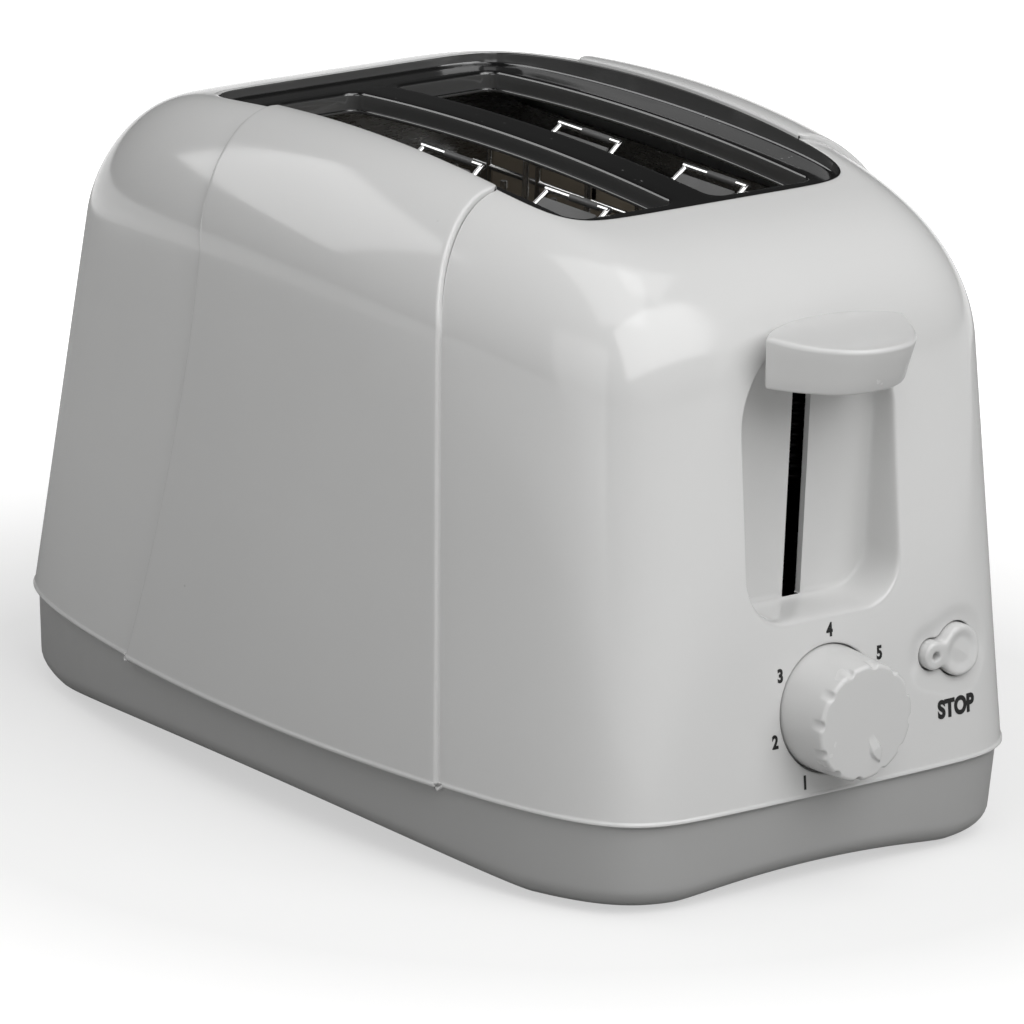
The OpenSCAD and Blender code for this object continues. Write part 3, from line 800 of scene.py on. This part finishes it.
def panel(name, side):
    turns = panel_turns()
    rows = [outline(v, t, 0) for v, t in zip(ROWS, turns)]
    rows = under_rows(turns[0], 0) + rows + top_rows(turns[-1], 0)
    p = np.array(rows)
    # surface directions at the first and last columns
    up = np.gradient(p, axis=0)
    across = np.gradient(p, axis=1)
    normal = np.cross(across, up)
    normal /= np.linalg.norm(normal, axis=2, keepdims=True)
    along = across / np.linalg.norm(across, axis=2, keepdims=True)
    # the edges are rolled in fully on the outside and hardly at all where the shell turns inwards
    hem = np.ones(len(p))
    hem[:6] = (0.02, 0.05, 0.1, 0.2, 0.4, 0.7)
    hem[-6:] = (0.5, 0.3, 0.15, 0.1, 0.05, 0.05)
    hem = hem[:, None]
    out = []
    for col, way in ((0, -1), (-1, 1)):
        steps = []
        for sin, cos in arc_steps(20, 45, 70, 90):
            steps.append(p[:, col] + way * along[:, col] * EDGE_R * sin
                         - normal[:, col] * hem * EDGE_R * (1 - cos))
        steps.append(steps[-1] - normal[:, col] * hem * EDGE_DEEP)
        out.append(steps)
    full = np.concatenate([np.array(out[0][::-1]).transpose(1, 0, 2), p,
                           np.array(out[1]).transpose(1, 0, 2)], axis=1)
    full = full * (side, 1, 1)
    b = Build()
    b.grid([b.add(r) for r in full], flip=side < 0)
    b.piece(name, M_PANEL, stands_for=[name], thickness=1.6, sharp=50)


panel("right_side_panel", 1)
panel("left_side_panel", -1)

# -------- base
BASE_Z, BASE_IN, BASE_ROUND = 1.2, 1.9, 7.0
FLOOR_Z = 13.5
SIDE_ARCH, SIDE_REACH = 7.5, 105.0
END_ARCH, END_REACH = 3.5, 50.0
MOUTH_X, MOUTH_LOW = 57.0, 15.5
ARCH_SOFT = 0.2         # rounds off the ends of the arches
N_BASE = 480


def base_turns():
    turns = np.linspace(-180, 180, 6001)[:-1]
    x, y = ring(turns, BODY_L / 2 - BASE_IN, BODY_W / 2 - BASE_IN - PROUD / 2, SIDE_BOW, CAP_BOW, 0)
    p = np.stack([x, y], -1)
    run = run_length(np.vstack([p, p[:1]]))
    even = np.interp(np.arange(N_BASE) / N_BASE * run[-1], run, np.append(turns, 180))
    # two columns at the sides of the crumb tray's opening
    for mark in (MOUTH_X, -MOUTH_X):
        uy = 0.995
        u = mark / (BODY_W / 2 - BASE_IN - PROUD / 2 - SIDE_BOW * uy * uy)
        t = math.degrees(math.atan2((1 - abs(u) ** CORNER) ** (1 / CORNER), u))
        even[int(np.argmin(np.abs(even - t)))] = t
    return even


def base_skirt():
    turns = base_turns()
    low = BASE_IN + 0.9

    def base_ring(inset, z, follow):
        """One level of the wall; the arches over the sides flatten out only at the rim."""
        x, y = ring(turns, BODY_L / 2 - inset, BODY_W / 2 - inset - PROUD / 2, SIDE_BOW, CAP_BOW, 0)
        side = SIDE_ARCH * np.clip(1 - (y / SIDE_REACH) ** 2, 0, 1)
        end = END_ARCH * np.clip(1 - (x / END_REACH) ** 2, 0, 1)
        share = float(np.clip((RIM_Z - z) / (RIM_Z - BASE_Z - BASE_ROUND), 0, 1))
        soft = math.sqrt(ARCH_SOFT)
        side_lift = share * (np.sqrt(side * side + ARCH_SOFT) - soft)
        return np.stack([x, y, z + side_lift + follow * (np.sqrt(end * end + ARCH_SOFT) - soft)], -1)

    b = Build()
    # the wall's inside above its lower edge, the rounded edge, then the wall
    levels = [(low + BASE_ROUND + 1.0, BASE_Z + 1.5), (low + BASE_ROUND + 0.8, BASE_Z + 0.3)]
    levels += [(low + BASE_ROUND * (1 - sin), BASE_Z + BASE_ROUND * (1 - cos))
               for sin, cos in arc_steps(*range(0, 91, 9))]
    rows = [base_ring(inset, z, 1.0) for inset, z in levels]
    for z in (10.5, 13, MOUTH_LOW, 18, 20.5, 23, RIM_Z - 1.2, RIM_Z + 3):
        w = (z - BASE_Z - BASE_ROUND) / (RIM_Z - BASE_Z - BASE_ROUND)
        follow = float(np.clip((MOUTH_LOW - z) / (MOUTH_LOW - BASE_Z - BASE_ROUND), 0, 1))
        inset = mix(low, BASE_IN, min(w, 1))
        rows.append(base_ring(inset, z, follow))
    ids = [b.add(r) for r in rows]
    # the crumb tray's opening takes three levels of the rear wall
    mouth_lo, mouth_hi = len(rows) - 6, len(rows) - 3
    in_mouth = (rows[-3][:, 1] > 0) & (np.abs(rows[-3][:, 0]) < MOUTH_X + 0.2)
    for k, (lo, hi) in enumerate(zip(ids[:-1], ids[1:])):
        for i in range(N_BASE):
            j = (i + 1) % N_BASE
            if not (mouth_lo <= k < mouth_hi and in_mouth[i] and in_mouth[j]):
                b.faces.append((lo[i], lo[j], hi[j], hi[i]))
    # floor with rows of vents and two screw holes, set up inside the skirt
    ring_top = base_ring(low + BASE_ROUND + 1.2, FLOOR_Z, 0)
    ring_top[:, 2] = FLOOR_Z
    under = b.add(ring_top)
    b.grid([under, ids[0]], closed=True)
    vents = []
    for x in range(-40, 41, 16):
        for y in range(-60, 61, 30):
            loop = rounded_box(x - 1.5, x + 1.5, y - 10, y + 10, 1.4, 1.4, 4, 6, 1)
            vents.append(b.add(level_row(loop, FLOOR_Z)))
    for x in (-62, 62):
        vents.append(b.add(level_row(circle_loop(1.9, 24, x, 118), FLOOR_Z)))
    b.fill(under, vents, [], (0, 1), lambda x, y: np.stack([x, y, x * 0 + FLOOR_Z], -1), flip=True)
    b.piece("base_skirt", M_BASE, stands_for=["base_skirt"],
            thickness=1.8, sharp=45)


base_skirt()

# -------- deck
DECK_DROP, DECK_FALL = 6.8, 4.3
SLOT_X, SLOT_W, SLOT_L = 24.75, 36.0, 140.0
SLOT_R, SLOT_DEEP, HEM_R = 1.1, 6.4, 0.5
DECK_IN, DECK_BEND = WALL + 0.25, 0.9


def deck_height(y):
    return BODY_H - DECK_DROP - DECK_FALL * (y / (TOP_L / 2)) ** 2


def deck_plate():
    b = Build()
    turns = np.arange(240) * 1.5
    turns = turns + 8 * np.sin(np.radians(4 * turns)) * 0.9

    def edge_ring(inset, z):
        x, y = ring(turns, TOP_L / 2 - inset, TOP_W / 2 - inset, TOP_BOW, 0, TOP_Y)
        return np.stack([x, y, z(y)], -1)

    rows = []
    for sin, cos in arc_steps(0, 30, 60, 90):
        rows.append(edge_ring(DECK_IN + DECK_BEND * (1 - sin),
                              lambda y, cos=cos: deck_height(y) + DECK_BEND * (1 - cos)))
    rows.append(edge_ring(DECK_IN, lambda y: crest(y, 0) - 1.9))
    rows.append(edge_ring(DECK_IN - 0.1, lambda y: crest(y, 0) - 1.3))
    ids = [b.add(r) for r in rows]
    b.grid(ids, closed=True, flip=True)
    holes = []
    for x in (-SLOT_X, SLOT_X):
        # rounded edge, wall, and the hem rolled under the wall
        levels = [(SLOT_R * (1 - sin), SLOT_R * (1 - cos)) for sin, cos in arc_steps(0, 18, 36, 54, 72, 90)]
        levels += [(0, 2.5), (0.05, SLOT_DEEP - 2.4)]
        levels += [(0.1 - HEM_R - HEM_R * cos * 0.9, SLOT_DEEP - 1.0 - HEM_R * sin * 1.2)
                   for sin, cos in arc_steps(150, 110, 70, 30, -10, -50, -90)]
        loops = []
        for grow, down in levels:
            loop = rounded_box(x - SLOT_W / 2 - grow, x + SLOT_W / 2 + grow, -SLOT_L / 2 - grow,
                               SLOT_L / 2 + grow, 4 + grow, 4 + grow, 12, 50, 8)
            loops.append(b.add(level_row(loop, deck_height(loop[:, 1]) - down)))
        b.grid(loops, closed=True)
        holes.append(loops[0])
    inner = sampled(-56, 56, -84, 86, 3.0)
    outer = np.array([b.points[k][:2] for k in ids[0]])
    hole_xy = [np.array([b.points[k][:2] for k in h]) for h in holes]
    inner = inner[inside(inner, outer) & ~inside(inner, hole_xy[0]) & ~inside(inner, hole_xy[1])]
    inner = clear_of(inner, [outer] + hole_xy, 1.5)
    b.fill(ids[0], holes, inner, (0, 1), lambda x, y: np.stack([x, y, deck_height(y)], -1))
    b.piece("deck_plate", M_DECK, stands_for=["deck_plate"],
            thickness=0.8, sharp=60)


deck_plate()

# -------- lever handle
HANDLE_W, HANDLE_Z, HANDLE_H, HANDLE_Y = 49.4, 141.7, 13.7, -130.0
HANDLE_FRONT, HANDLE_LEAN, HANDLE_BACK, HANDLE_RISE = 23.1, 5.6, 9.3, 1.5
NECK_END = -119.5


def lever_plan(inset, z):
    """Half-moon outline at height z drawn in by inset, anticlockwise, with rounded tips."""
    low = 1 - (z - HANDLE_Z) / HANDLE_H
    half = HANDLE_W / 2 - 0.9 * low
    front_y = HANDLE_FRONT - HANDLE_LEAN * low
    t = np.linspace(0, 180, 61)
    x = -half * np.cos(np.radians(t))
    front = np.stack([x, HANDLE_Y - front_y * (1 - (np.abs(x) / half) ** 2.6)], -1)
    xb = x[::-1][1:-1]
    back = np.stack([xb, HANDLE_Y + HANDLE_BACK * (1 - (xb / half) ** 2) ** 0.8], -1)
    p = np.concatenate([front, back])
    # smooth the tips, then move in along the normals
    for _ in range(3):
        p = 0.5 * p + 0.25 * (np.roll(p, 1, 0) + np.roll(p, -1, 0))
    tangent = np.roll(p, -1, 0) - np.roll(p, 1, 0)
    tangent /= np.linalg.norm(tangent, axis=1, keepdims=True)
    normal = np.stack([-tangent[:, 1], tangent[:, 0]], -1)
    return p + normal * inset


def slope(y):
    """How far the handle's top rises towards the back."""
    return HANDLE_RISE * smooth((y - HANDLE_Y + 14) / 24)


def lever_handle():
    b = Build()
    top, low = HANDLE_Z + HANDLE_H, HANDLE_Z
    r_top, r_low = 1.5, 0.9
    rows = [(r_low * (1 - sin), low + r_low * (1 - cos)) for sin, cos in arc_steps(0, 30, 60, 90)]
    rows += [(0.0, low + 4), (0.0, low + 8)]
    rows += [(r_top * (1 - cos), top - r_top * (1 - sin)) for sin, cos in arc_steps(0, 18, 36, 54, 72, 90)]
    ids = []
    for inset, z in rows:
        q = lever_plan(inset, z)
        ids.append(b.add(level_row(q, z + (z > low + 5) * slope(q[:, 1]))))
    b.grid(ids, closed=True)

    for row, z, rises, flip in ((ids[-1], top, 1, False), (ids[0], low, 0, True)):
        edge = np.array([b.points[k][:2] for k in row])
        pts = sampled(-26, 26, -154, -120, 1.6)
        pts = clear_of(pts[inside(pts, edge)], [edge], 1.0)
        b.fill(row, [], pts, (0, 1),
               lambda x, y, z=z, rises=rises: np.stack([x, y, z + rises * slope(y)], -1), flip=flip)
    # neck that carries the handle on the carriage's stem
    neck = rounded_box(-4.6, 4.6, low + 1.5, top - 1.5, 1.5, 1.5, 5, 3, 2)
    ids = b.sweep(neck, (HANDLE_Y + HANDLE_BACK - 2.5, -120.5, NECK_END))
    b.faces.append(tuple(ids[-1]))
    b.faces.append(tuple(ids[0][::-1]))
    b.piece("lever_handle", M_CONTROL, "carriage", ["lever_handle"], sharp=50)


lever_handle()

# -------- browning knob
NOTCHES, NOTCH_DEEP, NOTCH_W, NOTCH_L = 12, 1.15, 1.5, 3.0
POINTER_TURN, POINTER_FROM, POINTER_L, POINTER_W, POINTER_H = 156.0, 7.6, 5.6, 2.15, 0.8
KNOB_BACK, KNOB_TAPER, SOCKET_R = -132.5, 0.9, 3.05


def browning_knob():
    front = KNOB_Y - KNOB_H
    back = KNOB_BACK
    around = NOTCHES * 26
    b = Build()
    profile = [(KNOB_R - 0.6, back), (KNOB_R - 0.1, back - 0.1), (KNOB_R, back - 0.5)]
    r_edge, r_fillet = KNOB_R - KNOB_TAPER, 1.2
    for s in np.linspace(0.05, 0.90, 14):
        profile.append((KNOB_R - KNOB_TAPER * s, back + s * (front + r_fillet - back)))
    profile += [(r_edge - r_fillet * (1 - cos), front + r_fillet * (1 - sin))
                for sin, cos in arc_steps(*range(0, 91, 11))]
    profile += [(r, front) for r in np.arange(r_edge - r_fillet - 0.35, 9.0, -0.35)]
    profile += [(r, front) for r in (8, 6, 4, 2)]
    angles = np.arange(around) * 2 * math.pi / around
    pointer = math.radians(90 - POINTER_TURN)
    ids = []
    for r, y in profile:
        x, z = r * np.cos(angles), r * np.sin(angles)
        yy = np.full(around, float(y))
        rr = np.full(around, float(r))
        # finger notches scooped from the rim
        phase = ((angles - pointer) / (2 * math.pi) * NOTCHES + 0.5) % 1.0 - 0.5
        near = np.clip(1 - (phase * (2 * math.pi / NOTCHES) * r_edge / NOTCH_W) ** 2, 0, 1)
        reach = np.clip(1 - ((y - front) / NOTCH_L) ** 2, 0, 1) * np.clip((r - (r_edge - 1.9)) / 1.9, 0, 1)
        rr = rr - NOTCH_DEEP * near ** 0.8 * reach
        # raised pointer, a rounded wedge that points outwards
        px = x * math.cos(pointer) + z * math.sin(pointer)
        pz = -x * math.sin(pointer) + z * math.cos(pointer)
        along = np.clip((px - POINTER_FROM) / POINTER_L, 0, 1)
        across = POINTER_W * np.sin(math.pi * np.clip(along * 0.86 + 0.14, 0, 1) ** 0.62) ** 0.8
        rise = smooth((across - np.abs(pz)) / 0.75)
        yy = yy - POINTER_H * rise * (abs(y - front) < 0.4) * (px > POINTER_FROM)
        ids.append(b.add(np.stack([rr * np.cos(angles), yy, KNOB_Z + rr * np.sin(angles)], -1)))
    b.grid(ids, closed=True)
    b.faces.append(tuple(ids[-1]))
    # flat back with the socket for the dial's shaft
    inner = [b.add(np.stack([r * np.cos(angles), np.full(around, y), KNOB_Z + r * np.sin(angles)], -1))
             for r, y in ((KNOB_R - 0.6, back), (KNOB_R - 1.8, back), (3.2, back), (SOCKET_R, front + 4))]
    b.grid(inner, closed=True, flip=True)
    b.faces.append(tuple(inner[-1][::-1]))
    b.piece("browning_knob", M_CONTROL, "dial", ["browning_knob"], sharp=48)


browning_knob()

# -------- stop button
STOP_FACE, STOP_BACK, KEY_DEEP = -136.4, -131.2, 5.0


def stop_button():
    b = Build()
    n = 140
    stand = end_height(STOP_X, STOP_Z, FRONT)[0] - STOP_FACE

    def face_y(x, z):
        """The face keeps its height over the curved front and is dished in its large lobe."""
        y = end_height(x, z, FRONT) - stand
        big = np.hypot(x - STOP_X, z - STOP_Z) / STOP_R
        bowl = 0.75 * smooth((0.86 - big) / 0.4)
        return np.maximum(y + bowl, STOP_FACE + bowl)

    rows = []
    for level, down in ((-0.05, KEY_DEEP), (-0.05, 1.0), (-0.12, 0.6), (-0.3, 0.3), (-0.55, 0.1),
                        (-0.9, 0.0), (-1.3, 0.0)):
        loop = key_loop(level, n)
        y = face_y(*loop.T) + down if down < KEY_DEEP else np.full(n, STOP_BACK)
        rows.append(b.add(np.stack([loop[:, 0], y, loop[:, 1]], -1)))
    b.grid(rows, closed=True)
    lamp = circle_loop(1.3, 36, LAMP_X, STOP_Z)
    rim_loop = circle_loop(1.55, 36, LAMP_X, STOP_Z)
    lamp_ids = [b.add(np.stack([q[:, 0], face_y(*q.T) + d, q[:, 1]], -1))
                for q, d in ((rim_loop, 0.0), (lamp, 0.25), (lamp, 4.6))]
    b.grid(lamp_ids, closed=True)
    b.faces.append(tuple(lamp_ids[-1]))
    edge = key_loop(-1.3, n)
    pts = sampled(30, 60, 46, 68, 0.55)
    pts = pts[inside(pts, edge) & ~inside(pts, rim_loop)]
    pts = clear_of(pts, [edge, rim_loop], 0.3)
    b.fill(rows[-1], [lamp_ids[0]], pts, (0, 2), lifted(face_y))
    b.faces.append(tuple(rows[0][::-1]))
    b.piece("stop_button", M_CONTROL, "stop", ["stop_button"], sharp=48)


stop_button()

# -------- printed figures
FIGURE_H, WORD_H = 3.9, 5.3
FIGURE_TURNS = (-150, -106, -57, 0, 55, 107)
FIGURE_REACH, FIGURE_X = 21.6, 0.8
INK_OUT, INK_IN = -0.12, 0.15


def printed(name, text, x, z, height, width=None, weight=0.04):
    """Bold condensed lettering laid on the front surface."""
    curve = bpy.data.curves.new(name + "_outline", "FONT")
    curve.body = text
    curve.size = 1.0
    curve.offset = weight
    curve.extrude = 0.5
    curve.resolution_u = 8
    curve.fill_mode = "BOTH"
    source = bpy.data.objects.new(name + "_source", curve)
    bpy.context.scene.collection.objects.link(source)
    graph = bpy.context.evaluated_depsgraph_get()
    mesh = bpy.data.meshes.new_from_object(source.evaluated_get(graph))
    bpy.data.objects.remove(source)
    p = np.array([v.co for v in mesh.vertices])
    lo, hi = p.min(0), p.max(0)
    scale_z = height / (hi[1] - lo[1])
    scale_x = width / (hi[0] - lo[0]) if width else scale_z * 0.82
    px = x + (p[:, 0] - (lo[0] + hi[0]) / 2) * scale_x
    pz = z + (p[:, 1] - (lo[1] + hi[1]) / 2) * scale_z
    out = np.where(p[:, 2] > 0, INK_OUT, INK_IN)
    py = front_surface(px, pz) + out
    for v, co in zip(mesh.vertices, np.stack([px, py + CENTRE_Y, pz], -1) * MM):
        v.co = co
    mesh.update()
    ob = bpy.data.objects.new(name, mesh)
    bpy.context.scene.collection.objects.link(ob)
    ob.data.materials.clear()
    ob.data.materials.append(M_INK)
    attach(ob, "chassis")


for figure, turn in enumerate(FIGURE_TURNS, 1):
    right, up = FIGURE_REACH * math.sin(math.radians(turn)), FIGURE_REACH * math.cos(math.radians(turn))
    printed("figure_%d" % figure, str(figure), FIGURE_X + right, KNOB_Z + up, FIGURE_H)
printed("stop_word", "STOP", 46.6, 42.3, WORD_H, 14.4, 0.05)

# -------- bread guards: plates and sleeves
GUARD_X, LOOP_IN, LOOP_Z, FOOT_Z = 15.6, 11.6, 177.4, 168.0
LOOP_Y, LOOP_GAP = 28.0, 54.0
PLATE_HALF, SLEEVE_R = 11.2, 1.05


def guard_flaps(name, x, body):
    """Enamelled plates behind the loops, and a dark sleeve on each loop's bar."""
    b = Build()
    head = np.array([x + LOOP_IN, LOOP_Z])
    foot = np.array([x + 0.2, FOOT_Z - 1.0])
    down = (foot - head) / np.linalg.norm(foot - head)
    out = np.array([-down[1], down[0]])
    length = float(np.linalg.norm(foot - head))

    def strip(stations, near, far):
        front_side = [head + down * (s * length) + out * near for s in stations]
        return front_side + [head + down * (s * length) + out * far for s in stations[::-1]]

    plate = strip((0.2, 0.45, 0.7, 1.0), -1.15, -0.55)
    sleeve = [head + SLEEVE_R * np.array([math.cos(t), math.sin(t)]) for t in np.radians(range(0, 360, 24))]
    for yc in (-LOOP_Y - LOOP_GAP / 2, -LOOP_Y + LOOP_GAP / 2):
        for y0, y1, section in ((yc - PLATE_HALF, yc + PLATE_HALF, plate), (yc - 9.0, yc + 3.0, sleeve)):
            ids = b.sweep(section, np.linspace(y0, y1, 9))
            b.faces.append(tuple(ids[0]))
            b.faces.append(tuple(ids[-1][::-1]))
    b.piece(name, M_FLAP, body, sharp=50)


guard_flaps("left_guard_flaps", -SLOT_X - GUARD_X, "guard_a")
guard_flaps("right_guard_flaps", SLOT_X - GUARD_X, "guard_c")

# -------- camera
CAM_AZ, CAM_EL, CAM_ROLL = -40.092, 16.818, 2.555
CAM_DISTANCE, CAM_LENS = 2538.2, 316.41
CAM_TARGET = (0.2, 1.44 + CENTRE_Y, 69.3)

az, el = math.radians(CAM_AZ), math.radians(CAM_EL)
back = Vector((math.sin(az) * math.cos(el), -math.cos(az) * math.cos(el), math.sin(el)))
right = (-back).cross(Vector((0, 0, 1))).normalized()
upward = right.cross(-back)
roll = math.radians(CAM_ROLL)
cam_x = right * math.cos(roll) + upward * math.sin(roll)
cam_y = upward * math.cos(roll) - right * math.sin(roll)
camera = bpy.data.objects.new("camera", bpy.data.cameras.new("camera"))
bpy.context.scene.collection.objects.link(camera)
rotation = Matrix((cam_x, cam_y, back)).transposed()
camera.matrix_world = Matrix.Translation((Vector(CAM_TARGET) + back * CAM_DISTANCE) * MM) @ rotation.to_4x4()
camera.data.lens = CAM_LENS
camera.data.sensor_width = 36.0
camera.data.clip_start, camera.data.clip_end = 0.1, 20.0
bpy.context.scene.camera = camera

# -------- floor and light
FLOOR_HALF = 12.0       # metres
floor_mesh = bpy.data.meshes.new("floor")
corners = [(x * FLOOR_HALF, y * FLOOR_HALF, 0) for x, y in ((-1, -1), (1, -1), (1, 1), (-1, 1))]
floor_mesh.from_pydata(corners, [], [(0, 1, 2, 3)])
floor = bpy.data.objects.new("floor", floor_mesh)
bpy.context.scene.collection.objects.link(floor)
# the camera glow rises from near to far: painted shade near the object, painted light far off
FLOOR_GLOW, FLOOR_REACH = (0.55, 0.96), (0.18, 0.42)
# glow seen only in glossy rays, a painted reflection band on the shell's sides
PAINTED_REFLECTION_GLOW, PAINTED_REFLECTION_REACH = 0.9, (0.80, 0.84)
mat, tree, shader = nodes_of("floor_paper")
shader.inputs["Roughness"].default_value = 0.9
shader.inputs["Specular IOR Level"].default_value = 0.0
# the paper is measured from the middle of the object outwards; near the object its colour and glow are
# lower, a painted shade round the object's foot
coords = tree.nodes.new("ShaderNodeTexCoord")
far = tree.nodes.new("ShaderNodeVectorMath")
far.operation = "LENGTH"
link(tree, coords.outputs["Object"], far.inputs[0])
fleck = ramp(tree, noise(tree, 3, 2), [(0.3, grey(0.49)), (0.7, grey(0.51))])
near = ranged(tree, far.outputs["Value"], 0.7, 1, *FLOOR_REACH)
link(tree, blend(tree, near, (0, 0, 0), fleck, "A", "B"), shader.inputs["Base Color"])
# far away it glows, and more strongly in glossy rays: a painted reflection that shows as a soft edge in the
# shell's gloss
seen = tree.nodes.new("ShaderNodeLightPath")
glow = ranged(tree, far.outputs["Value"], *FLOOR_GLOW, *FLOOR_REACH)
painted_reflection = ranged(tree, far.outputs["Value"], 0, PAINTED_REFLECTION_GLOW, *PAINTED_REFLECTION_REACH)
total = maths(tree, maths(tree, seen.outputs["Is Camera Ray"], glow),
              maths(tree, seen.outputs["Is Glossy Ray"], painted_reflection), "ADD")
shader.inputs["Emission Color"].default_value = (1, 1, 1, 1)
link(tree, total, shader.inputs["Emission Strength"])
floor.data.materials.append(mat)

world = bpy.data.worlds.new("studio")
bpy.context.scene.world = world
world.use_nodes = True
background = world.node_tree.nodes["Background"]
background.inputs["Color"].default_value = (1, 1, 1, 1)
background.inputs["Strength"].default_value = 0.05
LIGHT_AIM = (0, 0, 0.09)


def softbox(name, azimuth, elevation, distance, width, height, power):
    """Area light at an angle round the object, facing it."""
    data = bpy.data.lights.new(name, "AREA")
    data.shape = "RECTANGLE"
    data.size, data.size_y = width, height
    data.energy = power
    ob = bpy.data.objects.new(name, data)
    bpy.context.scene.collection.objects.link(ob)
    a, e = math.radians(azimuth), math.radians(elevation)
    way = Vector((math.sin(a) * math.cos(e), -math.cos(a) * math.cos(e), math.sin(e)))
    ob.location = Vector(LIGHT_AIM) + way * distance
    ob.rotation_mode = "QUATERNION"
    ob.rotation_quaternion = way.to_track_quat("Z", "Y")


softbox("key", 2, 40, 1.6, 2.0, 1.1, 20.5)
softbox("overhead", -30, 75, 1.6, 1.3, 1.3, 9)
softbox("tall", -70, 16, 1.5, 0.9, 1.1, 3.6)
softbox("behind", -150, 35, 1.6, 1.1, 0.8, 6.0)
softbox("right", 60, 70, 1.6, 0.7, 0.7, 2)

bpy.context.scene.view_settings.view_transform = "Standard"
bpy.context.scene.view_settings.look = "None"
